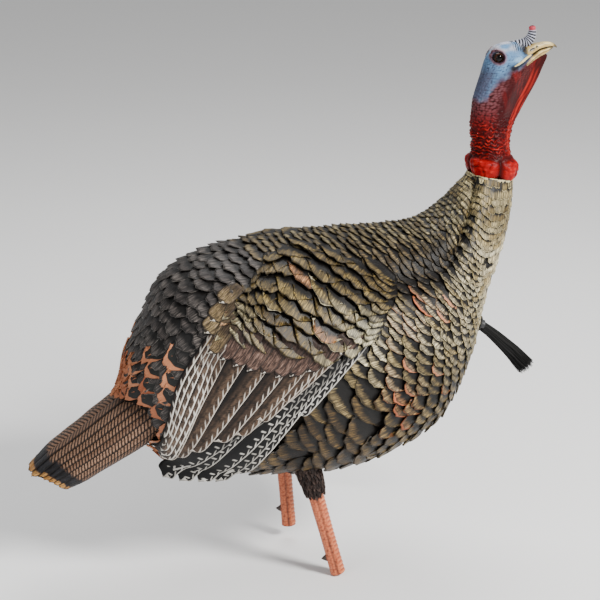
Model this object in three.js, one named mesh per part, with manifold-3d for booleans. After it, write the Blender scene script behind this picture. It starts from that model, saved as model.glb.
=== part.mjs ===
// Turkey decoy: hollow moulded body on a stake socket, lift-off head, pull-out beard.
// Millimetres. +X is where the beak points, +Y the bird's left, +Z up.
// The origin is the centre of the stake socket's bottom face, under the belly.
import * as THREE from 'three';
import { mergeVertices } from 'three/addons/utils/BufferGeometryUtils.js';
import Module from 'manifold-3d';

const wasm = await Module();
wasm.setup();

// ---- driving sizes -------------------------------------------------------
const GAP = 0.4;            // clearance between pieces that touch
const WALL = 3.2;           // wall of the blow-moulded body
const WELD = 1e-4;          // vertex merge distance
const ROUND = 24;           // segments of a turned piece
const BODY_RINGS = 26;      // sections along the body
const BODY_POINTS = 30;     // points round a section
const LINING_RINGS = 18;    // sections along the inner face of the body
const LINING_POINTS = 24;
const BODY_POWER = 2.25;    // superellipse power of the body sections

// Body sections from rump to collar: back point and belly point as [x, z], half width in y.
const BODY_SECTIONS = [
  { back: [-238, 130], belly: [-206, 54], half: 42 },
  { back: [-225, 172], belly: [-182, 38], half: 68 },
  { back: [-204, 218], belly: [-150, 28], half: 92 },
  { back: [-175, 270], belly: [-112, 18], half: 109 },
  { back: [-129, 299], belly: [-72, 10], half: 118 },
  { back: [-70, 311], belly: [-30, 7], half: 123 },
  { back: [0, 318], belly: [15, 5], half: 125 },
  { back: [60, 321], belly: [70, 11], half: 123 },
  { back: [112, 322], belly: [122, 29], half: 116 },
  { back: [153, 326], belly: [167, 54], half: 106 },
  { back: [176, 336], belly: [199, 91], half: 94 },
  { back: [190, 347], belly: [222, 137], half: 81 },
  { back: [202, 359], belly: [238, 188], half: 68 },
  { back: [210, 370], belly: [252, 235], half: 56 },
  { back: [217, 379], belly: [269, 284], half: 46 },
  { back: [221, 386], belly: [279, 334], half: 38 },
  { back: [224, 392], belly: [284, 382], half: 31 },
];
const RUMP_DOME = 7;        // how far the closed rump end bulges past the first section

// Wing outline from wrist to tip: upper and lower edge as [x, z].
const WING_STATIONS = [
  { upper: [100, 250], lower: [99, 234] },
  { upper: [84, 276], lower: [82, 214] },
  { upper: [50, 290], lower: [50, 192] },
  { upper: [5, 295], lower: [8, 144] },
  { upper: [-45, 293], lower: [-20, 96] },
  { upper: [-92, 281], lower: [-47, 56] },
  { upper: [-130, 248], lower: [-85, 30] },
  { upper: [-154, 200], lower: [-120, 16] },
  { upper: [-172, 150], lower: [-148, 11] },
  { upper: [-187, 98], lower: [-176, 14] },
  { upper: [-197, 50], lower: [-194, 34] },
];
const WING_THICK = 9;       // how far the wing stands off the flank
const WING_EDGE = 3.5;      // how far its upper edge stands off
const WING_ROOT = 8;        // depth of the plate inside the flank before it is fitted
const WING_ROWS = 20;
const WING_COLUMNS = 8;
const WING_HANG = 0.8;      // share of a section height beyond which the wing hangs free

const TAIL_ROOT = [-200, 106];      // start of the tail centre line, inside the rump
const TAIL_TIP = [-350, 10];
const TAIL_HALF_WIDTH = [30, 46, 60, 62, 57, 40];
const TAIL_HALF_THICK = [12, 19, 27, 26, 19, 8];
const TANG_LENGTH = 34;
const TANG_HALF_WIDTH = 26;
const TANG_HALF_THICK = 7;
const TAIL_PIN_RADIUS = 2.5;
const TAIL_PIN_HALF = 13;
const TAIL_PIN_Y = 15;

const LEG_Y = 62;
const RIGHT_LEG = { top: [-10, 46], foot: [38, -134] };
const LEFT_LEG = { top: [-14, 46], foot: [-1.5, -117] };
const SHANK_RADIUS = 10;
const THIGH_LOW = -20;      // lower edge of the feathered thigh
const THIGH_TOP_RADIUS = 21;
const THIGH_LOW_RADIUS = 16;
const SPUR_LENGTH = 12;
const SPUR_RADIUS = 5;
const SPUR_HEIGHT = 25;     // spur above the cut end of the leg
const LEG_PIN_RADIUS = 2;
const LEG_PIN_HALF = 17;
const LEG_PIN_Z = 36;

const STAKE_BORE = 6.5;     // takes a 12.7 mm stake
const BUSH_RADIUS = 8.9;
const BUSH_RIM = 11.9;
const BUSH_TOP = 186;
const TUBE_RADIUS = 14.5;
const TUBE_TOP = 190;
const FLANGE_RADIUS = 32;
const FLANGE_THICK = 6;
const PAD_TOP = 11;
const SCREW_CIRCLE = 23;
const SCREW_HEAD = 3.6;
const SCREW_SHANK = 1.6;

const COLLAR = new THREE.Vector3(254, 0, 387);
const NECK_AXIS = new THREE.Vector3(0.164, 0, 0.986).normalize();
const SOCKET_RADIUS = 26;
const SOCKET_BORE = 15.3;
const SOCKET_DEPTH = 34;
const SLEEVE_RADIUS = 14.9;
const SLEEVE_FLANGE = 22;
const PEG_RADIUS = 10;
const PEG_FLAT = 8;         // distance of the anti-turn flat from the neck axis
const PEG_DEPTH = 44;

// Head and bare neck, bottom to crown: level z, nape x, throat x, half width in y,
// and egg, how much wider the level is towards the nape than towards the throat.
const HEAD_LEVELS = [
  { z: 380, nape: 227, throat: 284, half: 28, egg: 0 },
  { z: 400, nape: 226, throat: 285, half: 30, egg: 0 },
  { z: 414, nape: 226, throat: 284, half: 28, egg: 0 },
  { z: 440, nape: 226, throat: 282, half: 25, egg: 0 },
  { z: 464, nape: 226, throat: 290, half: 23, egg: 0.05 },
  { z: 484, nape: 228, throat: 301, half: 22, egg: 0.12 },
  { z: 504, nape: 233, throat: 313, half: 22, egg: 0.22 },
  { z: 522, nape: 239, throat: 320, half: 22, egg: 0.3 },
  { z: 535, nape: 244, throat: 320, half: 21, egg: 0.35 },
  { z: 546, nape: 250, throat: 309, half: 18, egg: 0.3 },
  { z: 555, nape: 261, throat: 292, half: 10, egg: 0.1 },
];
const EYE = [252.5, 13.5, 538.5];
const EYE_RADIUS = 7;

const BEARD_ROOT = new THREE.Vector3(238, 0, 184);
const BEARD_AXIS = new THREE.Vector3(0.94, 0, -0.342).normalize();
const GROMMET_RADIUS = 11;
const GROMMET_BORE = 4.6;
const FERRULE_STEM = 4.2;
const FERRULE_HEAD = 6.5;
const BEARD_PATH = [[256, 176], [273, 167], [292, 153], [308, 133], [319, 109]];
const BEARD_RADII = [5, 8.5, 11.5, 13, 13];

// ---- materials -----------------------------------------------------------
const PAINT = {
  feather: ['#6a5a34', 0.8, 0],
  wing: ['#8a7440', 0.75, 0],
  tail: ['#6b4a2c', 0.8, 0],
  thigh: ['#3a2a1e', 0.95, 0],
  leg: ['#b8602c', 0.6, 0],
  skin: ['#a8262a', 0.45, 0],
  eye: ['#160d0a', 0.08, 0],
  bristle: ['#0d0d10', 0.7, 0],
  plastic: ['#2b2d30', 0.55, 0],
  rubber: ['#1a1a1c', 0.9, 0],
  steel: ['#b4b7bb', 0.35, 1],
};

const group = new THREE.Group();
group.name = 'turkey_decoy';

// ---- solids --------------------------------------------------------------
function signedVolume(at, tri) {
  const a = new THREE.Vector3();
  const b = new THREE.Vector3();
  const c = new THREE.Vector3();
  let sum = 0;
  for (let i = 0; i < tri.length; i += 3) {
    a.fromBufferAttribute(at, tri[i]);
    b.fromBufferAttribute(at, tri[i + 1]);
    c.fromBufferAttribute(at, tri[i + 2]);
    sum += a.dot(b.cross(c));
  }
  return sum;
}

function solid(geometry) {
  const bare = geometry.clone();
  bare.deleteAttribute('normal');
  bare.deleteAttribute('uv');
  const welded = mergeVertices(bare, WELD);
  const at = welded.getAttribute('position');
  const tri = [];
  for (let i = 0; i < welded.index.count; i += 3) {
    const [p, q, r] = [0, 1, 2].map((k) => welded.index.getX(i + k));
    if (p !== q && q !== r && r !== p) tri.push(p, q, r);
  }
  if (signedVolume(at, tri) < 0) tri.reverse();
  return new wasm.Manifold(
    new wasm.Mesh({
      numProp: 3,
      vertProperties: new Float32Array(at.array),
      triVerts: new Uint32Array(tri),
    }),
  );
}

function addPiece(name, paint, manifold) {
  const mesh = manifold.getMesh();
  const geometry = new THREE.BufferGeometry();
  geometry.setAttribute('position', new THREE.BufferAttribute(mesh.vertProperties, 3));
  geometry.setIndex(new THREE.BufferAttribute(mesh.triVerts, 1));
  const flat = geometry.toNonIndexed();
  flat.computeVertexNormals();
  const [color, roughness, metalness] = PAINT[paint];
  const material = new THREE.MeshStandardMaterial({ color, roughness, metalness });
  const piece = new THREE.Mesh(flat, material);
  piece.name = name;
  group.add(piece);
}

// Closed skin through rings of equal count, both ends closed by a fan.
function loft(rings) {
  const count = rings[0].length;
  const points = rings.flat();
  const tri = [];
  for (let i = 0; i + 1 < rings.length; i += 1) {
    for (let j = 0; j < count; j += 1) {
      const a = i * count + j;
      const b = i * count + ((j + 1) % count);
      tri.push(a, a + count, b, b, a + count, b + count);
    }
  }
  const middle = (ring) => {
    const sum = new THREE.Vector3();
    ring.forEach((p) => sum.add(p));
    return sum.divideScalar(ring.length);
  };
  const last = (rings.length - 1) * count;
  const first = points.push(middle(rings[0])) - 1;
  const end = points.push(middle(rings[rings.length - 1])) - 1;
  for (let j = 0; j < count; j += 1) {
    const k = (j + 1) % count;
    tri.push(first, j, k);
    tri.push(end, last + k, last + j);
  }
  const geometry = new THREE.BufferGeometry().setFromPoints(points);
  geometry.setIndex(tri);
  return solid(geometry);
}

function turned(profile, segments = ROUND) {
  const points = profile.map(([r, h]) => new THREE.Vector2(r, h));
  return new THREE.LatheGeometry(points, segments);
}

// Moves a turned piece from the y axis to an axis through a point.
function onAxis(geometry, origin, axis) {
  const turn = new THREE.Quaternion().setFromUnitVectors(new THREE.Vector3(0, 1, 0), axis);
  return geometry.applyQuaternion(turn).translate(origin.x, origin.y, origin.z);
}

const ORIGIN = new THREE.Vector3(0, 0, 0);
const UP = new THREE.Vector3(0, 0, 1);

const upright = (profile) => solid(onAxis(turned(profile), ORIGIN, UP));
const onNeck = (profile) => solid(onAxis(turned(profile), COLLAR, NECK_AXIS));
const onBeard = (profile) => solid(onAxis(turned(profile, 20), BEARD_ROOT, BEARD_AXIS));

const rod = (radius, low, high) => [[0, low], [radius, low], [radius, high], [0, high]];
const pipe = (inner, outer, low, high) => [
  [inner, low],
  [outer, low],
  [outer, high],
  [inner, high],
  [inner, low],
];

function along(start, end, radius, segments = 16) {
  const axis = end.clone().sub(start);
  const length = axis.length();
  return solid(onAxis(turned(rod(radius, 0, length), segments), start, axis.normalize()));
}

// ---- body surface --------------------------------------------------------
const backCurve = sectionCurve('back');
const bellyCurve = sectionCurve('belly');

function sectionCurve(side) {
  const points = BODY_SECTIONS.map((s) => new THREE.Vector3(s[side][0], s.half, s[side][1]));
  return new THREE.CatmullRomCurve3(points, false, 'centripetal');
}

const power = (v) => Math.sign(v) * Math.abs(v) ** (2 / BODY_POWER);

// One body section at a share of the way from rump to collar, grown outwards by grow.
function bodyRing(share, grow, points) {
  const back = backCurve.getPoint(share);
  const belly = bellyCurve.getPoint(share);
  const half = back.y + grow;
  back.y = 0;
  belly.y = 0;
  const centre = back.clone().add(belly).multiplyScalar(0.5);
  const reach = back.clone().sub(centre);
  reach.setLength(reach.length() + grow);
  const ring = [];
  for (let j = 0; j < points; j += 1) {
    const turn = (j / points) * 2 * Math.PI;
    const point = centre.clone().addScaledVector(reach, power(Math.cos(turn)));
    point.y = half * power(Math.sin(turn));
    ring.push(point);
  }
  return ring;
}

// The ring shrunk towards its own middle and pushed along a direction.
function closingRing(ring, scale, push) {
  const centre = new THREE.Vector3();
  ring.forEach((p) => centre.add(p));
  centre.divideScalar(ring.length);
  return ring.map((p) => p.clone().sub(centre).multiplyScalar(scale).add(centre).add(push));
}

function bodySolid(grow, pastCollar = 0, count = BODY_RINGS, points = BODY_POINTS) {
  const rings = [];
  for (let i = 0; i < count; i += 1) rings.push(bodyRing(i / (count - 1), grow, points));
  const rear = new THREE.Vector3(-0.9, 0, -0.44);
  const dome = Math.max(1, RUMP_DOME + grow);
  rings.unshift(closingRing(rings[0], 0.8, rear.clone().multiplyScalar(dome * 0.6)));
  rings.unshift(closingRing(rings[1], 0.45, rear.clone().multiplyScalar(dome)));
  if (pastCollar) {
    const collar = rings[rings.length - 1];
    rings.push(closingRing(collar, 1, NECK_AXIS.clone().multiplyScalar(pastCollar)));
  }
  return loft(rings);
}

// Half width of the body at a point of the side view, held beyond WING_HANG.
function flankAt(x, z) {
  const spot = new THREE.Vector3(x, 0, z);
  let best = Infinity;
  let side = 0;
  for (let i = 0; i <= 400; i += 1) {
    const back = backCurve.getPoint(i / 400);
    const half = back.y;
    back.y = 0;
    const belly = bellyCurve.getPoint(i / 400).setY(0);
    const centre = back.clone().add(belly).multiplyScalar(0.5);
    const reach = back.clone().sub(centre);
    const free = spot.clone().sub(centre).dot(reach) / reach.lengthSq();
    const rise = THREE.MathUtils.clamp(free, -1, 1);
    const miss = spot.distanceTo(centre.clone().addScaledVector(reach, rise));
    if (miss < best) {
      best = miss;
      const held = Math.min(Math.abs(rise), WING_HANG);
      side = half * (1 - held ** BODY_POWER) ** (1 / BODY_POWER);
    }
  }
  return side;
}

// ---- body shell ----------------------------------------------------------
const tailDirection = new THREE.Vector3(
  TAIL_TIP[0] - TAIL_ROOT[0],
  0,
  TAIL_TIP[1] - TAIL_ROOT[1],
).normalize();

// A block lying along the tail, centred on its line, from back to front of the root.
function tailBlock(halfWidth, halfThick, from, to) {
  const block = new THREE.BoxGeometry(to - from, halfWidth * 2, halfThick * 2);
  block.translate((from + to) / 2, 0, 0);
  block.rotateY(-Math.atan2(tailDirection.z, tailDirection.x));
  return solid(block.translate(TAIL_ROOT[0], 0, TAIL_ROOT[1]));
}

function legPoint(pair, side) {
  return new THREE.Vector3(pair[0], side * LEG_Y, pair[1]);
}

function shankRod(leg, side, radius) {
  return along(legPoint(leg.foot, side), legPoint(leg.top, side), radius);
}

// The point of a leg's centre line at a level z.
function legAt(leg, side, z) {
  const foot = legPoint(leg.foot, side);
  const top = legPoint(leg.top, side);
  return foot.clone().lerp(top, (z - foot.z) / (top.z - foot.z));
}

function bodyShell() {
  let shell = bodySolid(0).subtract(bodySolid(-WALL, 12, LINING_RINGS, LINING_POINTS));
  shell = shell.add(upright(rod(FLANGE_RADIUS + 6, 4.6, PAD_TOP)).intersect(bodySolid(-1)));
  shell = shell.subtract(upright(rod(FLANGE_RADIUS + GAP, -10, FLANGE_THICK + GAP)));
  shell = shell.subtract(upright(rod(TUBE_RADIUS + GAP, -1, PAD_TOP + 1)));
  for (const [x, y] of screwSpots()) {
    const hole = turned(rod(SCREW_SHANK + GAP, 0, PAD_TOP + 1), 12);
    shell = shell.subtract(solid(onAxis(hole, new THREE.Vector3(x, y, 0), UP)));
  }
  shell = shell.subtract(
    tailBlock(TANG_HALF_WIDTH + GAP, TANG_HALF_THICK + GAP, -TANG_LENGTH, 60),
  );
  for (const [leg, side] of [[RIGHT_LEG, -1], [LEFT_LEG, 1]]) {
    shell = shell.subtract(shankRod(leg, side, SHANK_RADIUS + GAP));
  }
  return shell.subtract(onBeard(rod(GROMMET_RADIUS - 2 + GAP, -14, 14)));
}

function screwSpots() {
  const spots = [];
  for (let i = 0; i < 4; i += 1) {
    const turn = Math.PI / 4 + (i * Math.PI) / 2;
    spots.push([SCREW_CIRCLE * Math.cos(turn), SCREW_CIRCLE * Math.sin(turn)]);
  }
  return spots;
}

// ---- wings ---------------------------------------------------------------
function wingCurve(edge) {
  const points = WING_STATIONS.map((s) => new THREE.Vector3(s[edge][0], 0, s[edge][1]));
  return new THREE.CatmullRomCurve3(points, false, 'centripetal');
}

// Rings run round the plate: down its outer face, back up inside the flank.
function wingPlate() {
  const upper = wingCurve('upper');
  const lower = wingCurve('lower');
  const rings = [];
  for (let i = 0; i <= WING_ROWS; i += 1) {
    const share = i / WING_ROWS;
    const top = upper.getPoint(share);
    const low = lower.getPoint(share);
    const outside = [];
    const inside = [];
    for (let j = 0; j <= WING_COLUMNS; j += 1) {
      const across = j / WING_COLUMNS;
      const spot = top.clone().lerp(low, across);
      const flank = flankAt(spot.x, spot.z);
      const swell = Math.sin(Math.PI * Math.min(1, across * 0.9 + 0.08)) ** 0.6;
      const end = Math.sin(Math.PI * Math.min(1, share + 0.12) * 0.88) ** 0.4;
      const stand = WING_EDGE + (WING_THICK - WING_EDGE) * swell * end;
      outside.push(new THREE.Vector3(spot.x, -(flank + stand), spot.z));
      inside.push(new THREE.Vector3(spot.x, -(flank - WING_ROOT), spot.z));
    }
    rings.push([...outside, ...inside.reverse()]);
  }
  return loft(rings);
}

const wingFit = bodySolid(GAP);
const rightWing = wingPlate().subtract(wingFit);

// ---- tail ----------------------------------------------------------------
function tailBundle() {
  const start = new THREE.Vector3(TAIL_ROOT[0], 0, TAIL_ROOT[1]);
  const end = new THREE.Vector3(TAIL_TIP[0], 0, TAIL_TIP[1]);
  const lift = new THREE.Vector3(-tailDirection.z, 0, tailDirection.x);
  const rings = [];
  for (let i = 0; i < TAIL_HALF_WIDTH.length; i += 1) {
    const share = i / (TAIL_HALF_WIDTH.length - 1);
    const centre = start.clone().lerp(end, share);
    const ring = [];
    for (let j = 0; j < 24; j += 1) {
      const turn = (j / 24) * 2 * Math.PI;
      const up = TAIL_HALF_THICK[i] * power(Math.sin(turn));
      const point = centre.clone().addScaledVector(lift, up);
      point.y = TAIL_HALF_WIDTH[i] * power(Math.cos(turn));
      ring.push(point);
    }
    rings.push(ring);
  }
  const tang = tailBlock(TANG_HALF_WIDTH, TANG_HALF_THICK, -TANG_LENGTH + 1, 60);
  const holes = [-1, 1].map((side) => tailPin(side, TAIL_PIN_RADIUS + GAP, TAIL_PIN_HALF));
  let tail = loft(rings).subtract(bodySolid(GAP)).add(tang);
  for (const hole of holes) tail = tail.subtract(hole);
  return tail;
}

function tailPin(side, radius, half) {
  const middle = new THREE.Vector3(TAIL_ROOT[0], side * TAIL_PIN_Y, TAIL_ROOT[1]);
  middle.addScaledVector(tailDirection, -TANG_LENGTH + 11);
  const lift = new THREE.Vector3(-tailDirection.z, 0, tailDirection.x);
  const low = middle.clone().addScaledVector(lift, -half);
  const high = middle.clone().addScaledVector(lift, half);
  return along(low, high, radius, 12);
}

// ---- legs ----------------------------------------------------------------
function shank(leg, side) {
  const foot = legPoint(leg.foot, side);
  const root = foot.clone().lerp(legPoint(leg.top, side), SPUR_HEIGHT / 180);
  const back = new THREE.Vector3(-1, 0, -0.15).normalize();
  const reach = SHANK_RADIUS + SPUR_LENGTH;
  const profile = [[0, 0], [SPUR_RADIUS, 0], [SPUR_RADIUS * 0.8, reach * 0.6], [0, reach]];
  const spur = solid(onAxis(turned(profile, 12), root, back));
  const pinHole = legPin(leg, side, LEG_PIN_RADIUS + GAP, SHANK_RADIUS + 2);
  return shankRod(leg, side, SHANK_RADIUS).add(spur).subtract(pinHole);
}

function thigh(leg, side) {
  const radii = [[THIGH_LOW, THIGH_LOW_RADIUS - 3], [THIGH_LOW + 6, THIGH_LOW_RADIUS]];
  radii.push([leg.top[1], THIGH_TOP_RADIUS]);
  const rings = radii.map(([z, radius]) => {
    const centre = legAt(leg, side, z);
    const ring = [];
    for (let j = 0; j < 18; j += 1) {
      const turn = (j / 18) * 2 * Math.PI;
      const out = new THREE.Vector3(Math.cos(turn) * radius, Math.sin(turn) * radius, 0);
      ring.push(centre.clone().add(out));
    }
    return ring;
  });
  const core = shankRod(leg, side, SHANK_RADIUS + GAP);
  return loft(rings).subtract(core).subtract(bodySolid(GAP));
}

function legPin(leg, side, radius, half) {
  const middle = legAt(leg, side, LEG_PIN_Z);
  const reach = new THREE.Vector3(half, 0, 0);
  return along(middle.clone().sub(reach), middle.clone().add(reach), radius, 12);
}

// ---- stake socket --------------------------------------------------------
function stakeFlange() {
  let flange = upright(pipe(BUSH_RADIUS + GAP, FLANGE_RADIUS, 0, FLANGE_THICK));
  for (const [x, y] of screwSpots()) {
    const sunk = turned(rod(SCREW_HEAD + GAP, -1, 2.8), 16);
    const through = turned(rod(SCREW_SHANK + GAP, 0, FLANGE_THICK + 1), 12);
    const spot = new THREE.Vector3(x, y, 0);
    flange = flange.subtract(solid(onAxis(sunk, spot, UP)));
    flange = flange.subtract(solid(onAxis(through, spot, UP)));
  }
  return flange;
}

const SCREW_PROFILE = [
  [0, 0.4],
  [SCREW_HEAD, 0.4],
  [SCREW_HEAD, 2.4],
  [SCREW_SHANK, 2.4],
  [SCREW_SHANK, 10.2],
  [0, 10.8],
];

const TUBE_PROFILE = [
  [BUSH_RADIUS + GAP, BUSH_TOP + GAP],
  [BUSH_RADIUS + GAP, 9.5],
  [BUSH_RIM + GAP, 9.5],
  [BUSH_RIM + GAP, FLANGE_THICK + GAP],
  [TUBE_RADIUS, FLANGE_THICK + GAP],
  [TUBE_RADIUS, PAD_TOP + GAP],
  [TUBE_RADIUS + 4, PAD_TOP + GAP],
  [TUBE_RADIUS + 4, PAD_TOP + 3],
  [TUBE_RADIUS, PAD_TOP + 3],
  [TUBE_RADIUS, TUBE_TOP],
  [BUSH_RADIUS + GAP, TUBE_TOP],
  [BUSH_RADIUS + GAP, BUSH_TOP + GAP],
];

const CAP_PROFILE = [
  [0, BUSH_TOP + 1],
  [BUSH_RADIUS, BUSH_TOP + 1],
  [BUSH_RADIUS, TUBE_TOP + GAP],
  [TUBE_RADIUS, TUBE_TOP + GAP],
  [TUBE_RADIUS, TUBE_TOP + 4],
  [0, TUBE_TOP + 4],
];

const BUSH_PROFILE = [
  [STAKE_BORE, GAP],
  [BUSH_RADIUS, GAP],
  [BUSH_RADIUS, FLANGE_THICK + GAP],
  [BUSH_RIM, FLANGE_THICK + GAP],
  [BUSH_RIM, 9.1],
  [BUSH_RADIUS, 9.1],
  [BUSH_RADIUS, BUSH_TOP],
  [STAKE_BORE, BUSH_TOP],
  [STAKE_BORE, 14],
  [STAKE_BORE + 1.3, 14],
  [STAKE_BORE + 1.3, 10.5],
  [STAKE_BORE, 10.5],
  [STAKE_BORE, GAP],
];

// ---- neck joint and head -------------------------------------------------
const SOCKET_PROFILE = pipe(SOCKET_BORE, SOCKET_RADIUS, -SOCKET_DEPTH, -1.6);

const SLEEVE_PROFILE = [
  [PEG_RADIUS + GAP, -SOCKET_DEPTH - 6],
  [SLEEVE_RADIUS, -SOCKET_DEPTH - 6],
  [SLEEVE_RADIUS, -SOCKET_DEPTH - 4],
  [SLEEVE_RADIUS - 1.5, -SOCKET_DEPTH - 4],
  [SLEEVE_RADIUS - 1.5, -SOCKET_DEPTH - 1],
  [SLEEVE_RADIUS, -SOCKET_DEPTH - 1],
  [SLEEVE_RADIUS, -1.2],
  [SLEEVE_FLANGE, -1.2],
  [SLEEVE_FLANGE, 2.4],
  [PEG_RADIUS + GAP, 2.4],
  [PEG_RADIUS + GAP, -SOCKET_DEPTH - 6],
];

// A block on the neck axis that keeps a turned piece round except for one flat.
function neckFlat(distance, low, high) {
  const block = new THREE.BoxGeometry(20, high - low, 40);
  block.translate(distance + 10, (low + high) / 2, 0);
  return solid(onAxis(block, COLLAR, NECK_AXIS));
}

function swivelSleeve() {
  const flat = neckFlat(PEG_FLAT + GAP, -SOCKET_DEPTH - 6, 2.4);
  const filler = onNeck(rod(PEG_RADIUS + 2, -SOCKET_DEPTH - 6, 2.4)).intersect(flat);
  return onNeck(SLEEVE_PROFILE).add(filler);
}

function neckPeg() {
  const peg = onNeck(rod(PEG_RADIUS, -PEG_DEPTH, 40));
  return peg.subtract(neckFlat(PEG_FLAT, -PEG_DEPTH - 1, 3.4)).subtract(pegScrew(2.4));
}

function pegScrew(radius) {
  const start = COLLAR.clone().addScaledVector(NECK_AXIS, 24).setY(-18);
  return along(start, start.clone().setY(18), radius, 12);
}

// Radius and height along the beak, and along the snood.
const BEAK_PROFILE = [[0, 0], [11, 0], [10, 18], [6.5, 33], [1.6, 42], [0, 42.5]];
const SNOOD_PROFILE = [[0, 0], [6.5, 0], [5.6, 14], [4.6, 27], [2.8, 31], [0, 32]];

function headRing({ z, nape, throat, half, egg }) {
  const ring = [];
  for (let j = 0; j < 28; j += 1) {
    const turn = (j / 28) * 2 * Math.PI;
    const x = (nape + throat) / 2 + ((throat - nape) / 2) * Math.cos(turn);
    const y = half * Math.sin(turn) * (1 - egg * Math.cos(turn));
    ring.push(new THREE.Vector3(x, y, z));
  }
  return ring;
}

function headSkin() {
  const beak = turned(BEAK_PROFILE, 16);
  const snood = turned(SNOOD_PROFILE, 14);
  const beakRoot = new THREE.Vector3(297, 0, 539);
  const snoodRoot = new THREE.Vector3(299, 0, 546);
  let skin = loft(HEAD_LEVELS.map(headRing));
  skin = skin.add(solid(onAxis(beak, beakRoot, new THREE.Vector3(0.95, 0, 0.31).normalize())));
  skin = skin.add(solid(onAxis(snood, snoodRoot, new THREE.Vector3(0.13, 0, 0.99).normalize())));
  skin = skin.subtract(onNeck(rod(40, -20, 2.8)));
  skin = skin.subtract(onNeck(rod(PEG_RADIUS + GAP, 0, 41)));
  for (const side of [-1, 1]) skin = skin.subtract(eyeBall(side, EYE_RADIUS + GAP));
  return skin.subtract(pegScrew(2.4)).subtract(pegScrewWell());
}

// Clearance for both ends of the peg screw, open to the outside of the neck.
function pegScrewWell() {
  const start = COLLAR.clone().addScaledVector(NECK_AXIS, 24).setY(-40);
  return along(start, start.clone().setY(-10), 2.4, 12);
}

function eyeBall(side, radius) {
  const ball = new THREE.SphereGeometry(radius, 16, 10);
  return solid(ball.translate(EYE[0], side * EYE[1], EYE[2]));
}

// ---- beard ---------------------------------------------------------------
const GROMMET_PROFILE = [
  [GROMMET_BORE, -9],
  [GROMMET_RADIUS - 2, -9],
  [GROMMET_RADIUS - 2, 7],
  [GROMMET_RADIUS, 7],
  [GROMMET_RADIUS, 9],
  [GROMMET_BORE, 9],
  [GROMMET_BORE, -9],
];

const FERRULE_PROFILE = [
  [0, -22],
  [FERRULE_STEM, -22],
  [FERRULE_STEM, 9.4],
  [FERRULE_HEAD, 9.4],
  [FERRULE_HEAD, 15],
  [0, 15],
];

function beardBristles() {
  const points = BEARD_PATH.map(([x, z]) => new THREE.Vector3(x, 0, z));
  const path = new THREE.CatmullRomCurve3(points, false, 'centripetal');
  const rings = [];
  for (let i = 0; i <= 12; i += 1) {
    const share = i / 12;
    const centre = path.getPoint(share);
    const forward = path.getTangent(share);
    const out = new THREE.Vector3(-forward.z, 0, forward.x);
    const slot = Math.min(BEARD_RADII.length - 2, Math.floor(share * 4));
    const radius = THREE.MathUtils.lerp(
      BEARD_RADII[slot],
      BEARD_RADII[slot + 1],
      share * 4 - slot,
    );
    const ring = [];
    for (let j = 0; j < 14; j += 1) {
      const turn = (j / 14) * 2 * Math.PI;
      const point = centre.clone().addScaledVector(out, Math.cos(turn) * radius);
      point.y = Math.sin(turn) * radius * 0.8;
      ring.push(point);
    }
    rings.push(ring);
  }
  return loft(rings);
}

// ---- assembly ------------------------------------------------------------
addPiece('body_shell', 'feather', bodyShell());
addPiece('right_wing', 'wing', rightWing);
addPiece('left_wing', 'wing', rightWing.mirror([0, 1, 0]));
addPiece('tail', 'tail', tailBundle());
for (const [name, side] of [['left', 1], ['right', -1]]) {
  addPiece(`tail_pin_${name}`, 'plastic', tailPin(side, TAIL_PIN_RADIUS, TAIL_PIN_HALF - 1));
}
for (const [name, leg, side] of [['right', RIGHT_LEG, -1], ['left', LEFT_LEG, 1]]) {
  addPiece(`${name}_shank`, 'leg', shank(leg, side));
  addPiece(`${name}_thigh`, 'thigh', thigh(leg, side));
  addPiece(`${name}_leg_pin`, 'steel', legPin(leg, side, LEG_PIN_RADIUS, LEG_PIN_HALF));
}
addPiece('stake_flange', 'plastic', stakeFlange());
screwSpots().forEach(([x, y], i) => {
  const screw = onAxis(turned(SCREW_PROFILE, 16), new THREE.Vector3(x, y, 0), UP);
  addPiece(`flange_screw_${i + 1}`, 'steel', solid(screw));
});
addPiece('stake_tube', 'plastic', upright(TUBE_PROFILE));
addPiece('stake_tube_cap', 'plastic', upright(CAP_PROFILE));
addPiece('stake_bush', 'plastic', upright(BUSH_PROFILE));
addPiece('stake_grip_ring', 'rubber', upright(pipe(6.4, STAKE_BORE + 0.9, 10.9, 13.6)));
addPiece('neck_socket', 'plastic', onNeck(SOCKET_PROFILE));
addPiece('swivel_sleeve', 'plastic', swivelSleeve());
addPiece(
  'swivel_retainer',
  'steel',
  onNeck(pipe(SLEEVE_RADIUS - 1.5 + GAP, SLEEVE_RADIUS + 3, -SOCKET_DEPTH - 3, -SOCKET_DEPTH - 1.4)),
);
addPiece('neck_peg', 'plastic', neckPeg());
addPiece('peg_screw', 'steel', pegScrew(2));
addPiece('head_skin', 'skin', headSkin());
addPiece('right_eye', 'eye', eyeBall(-1, EYE_RADIUS));
addPiece('left_eye', 'eye', eyeBall(1, EYE_RADIUS));
addPiece('beard_grommet', 'rubber', onBeard(GROMMET_PROFILE));
addPiece('beard_ferrule', 'plastic', onBeard(FERRULE_PROFILE));
addPiece('beard_bristles', 'bristle', beardBristles());

export default group;
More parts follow.
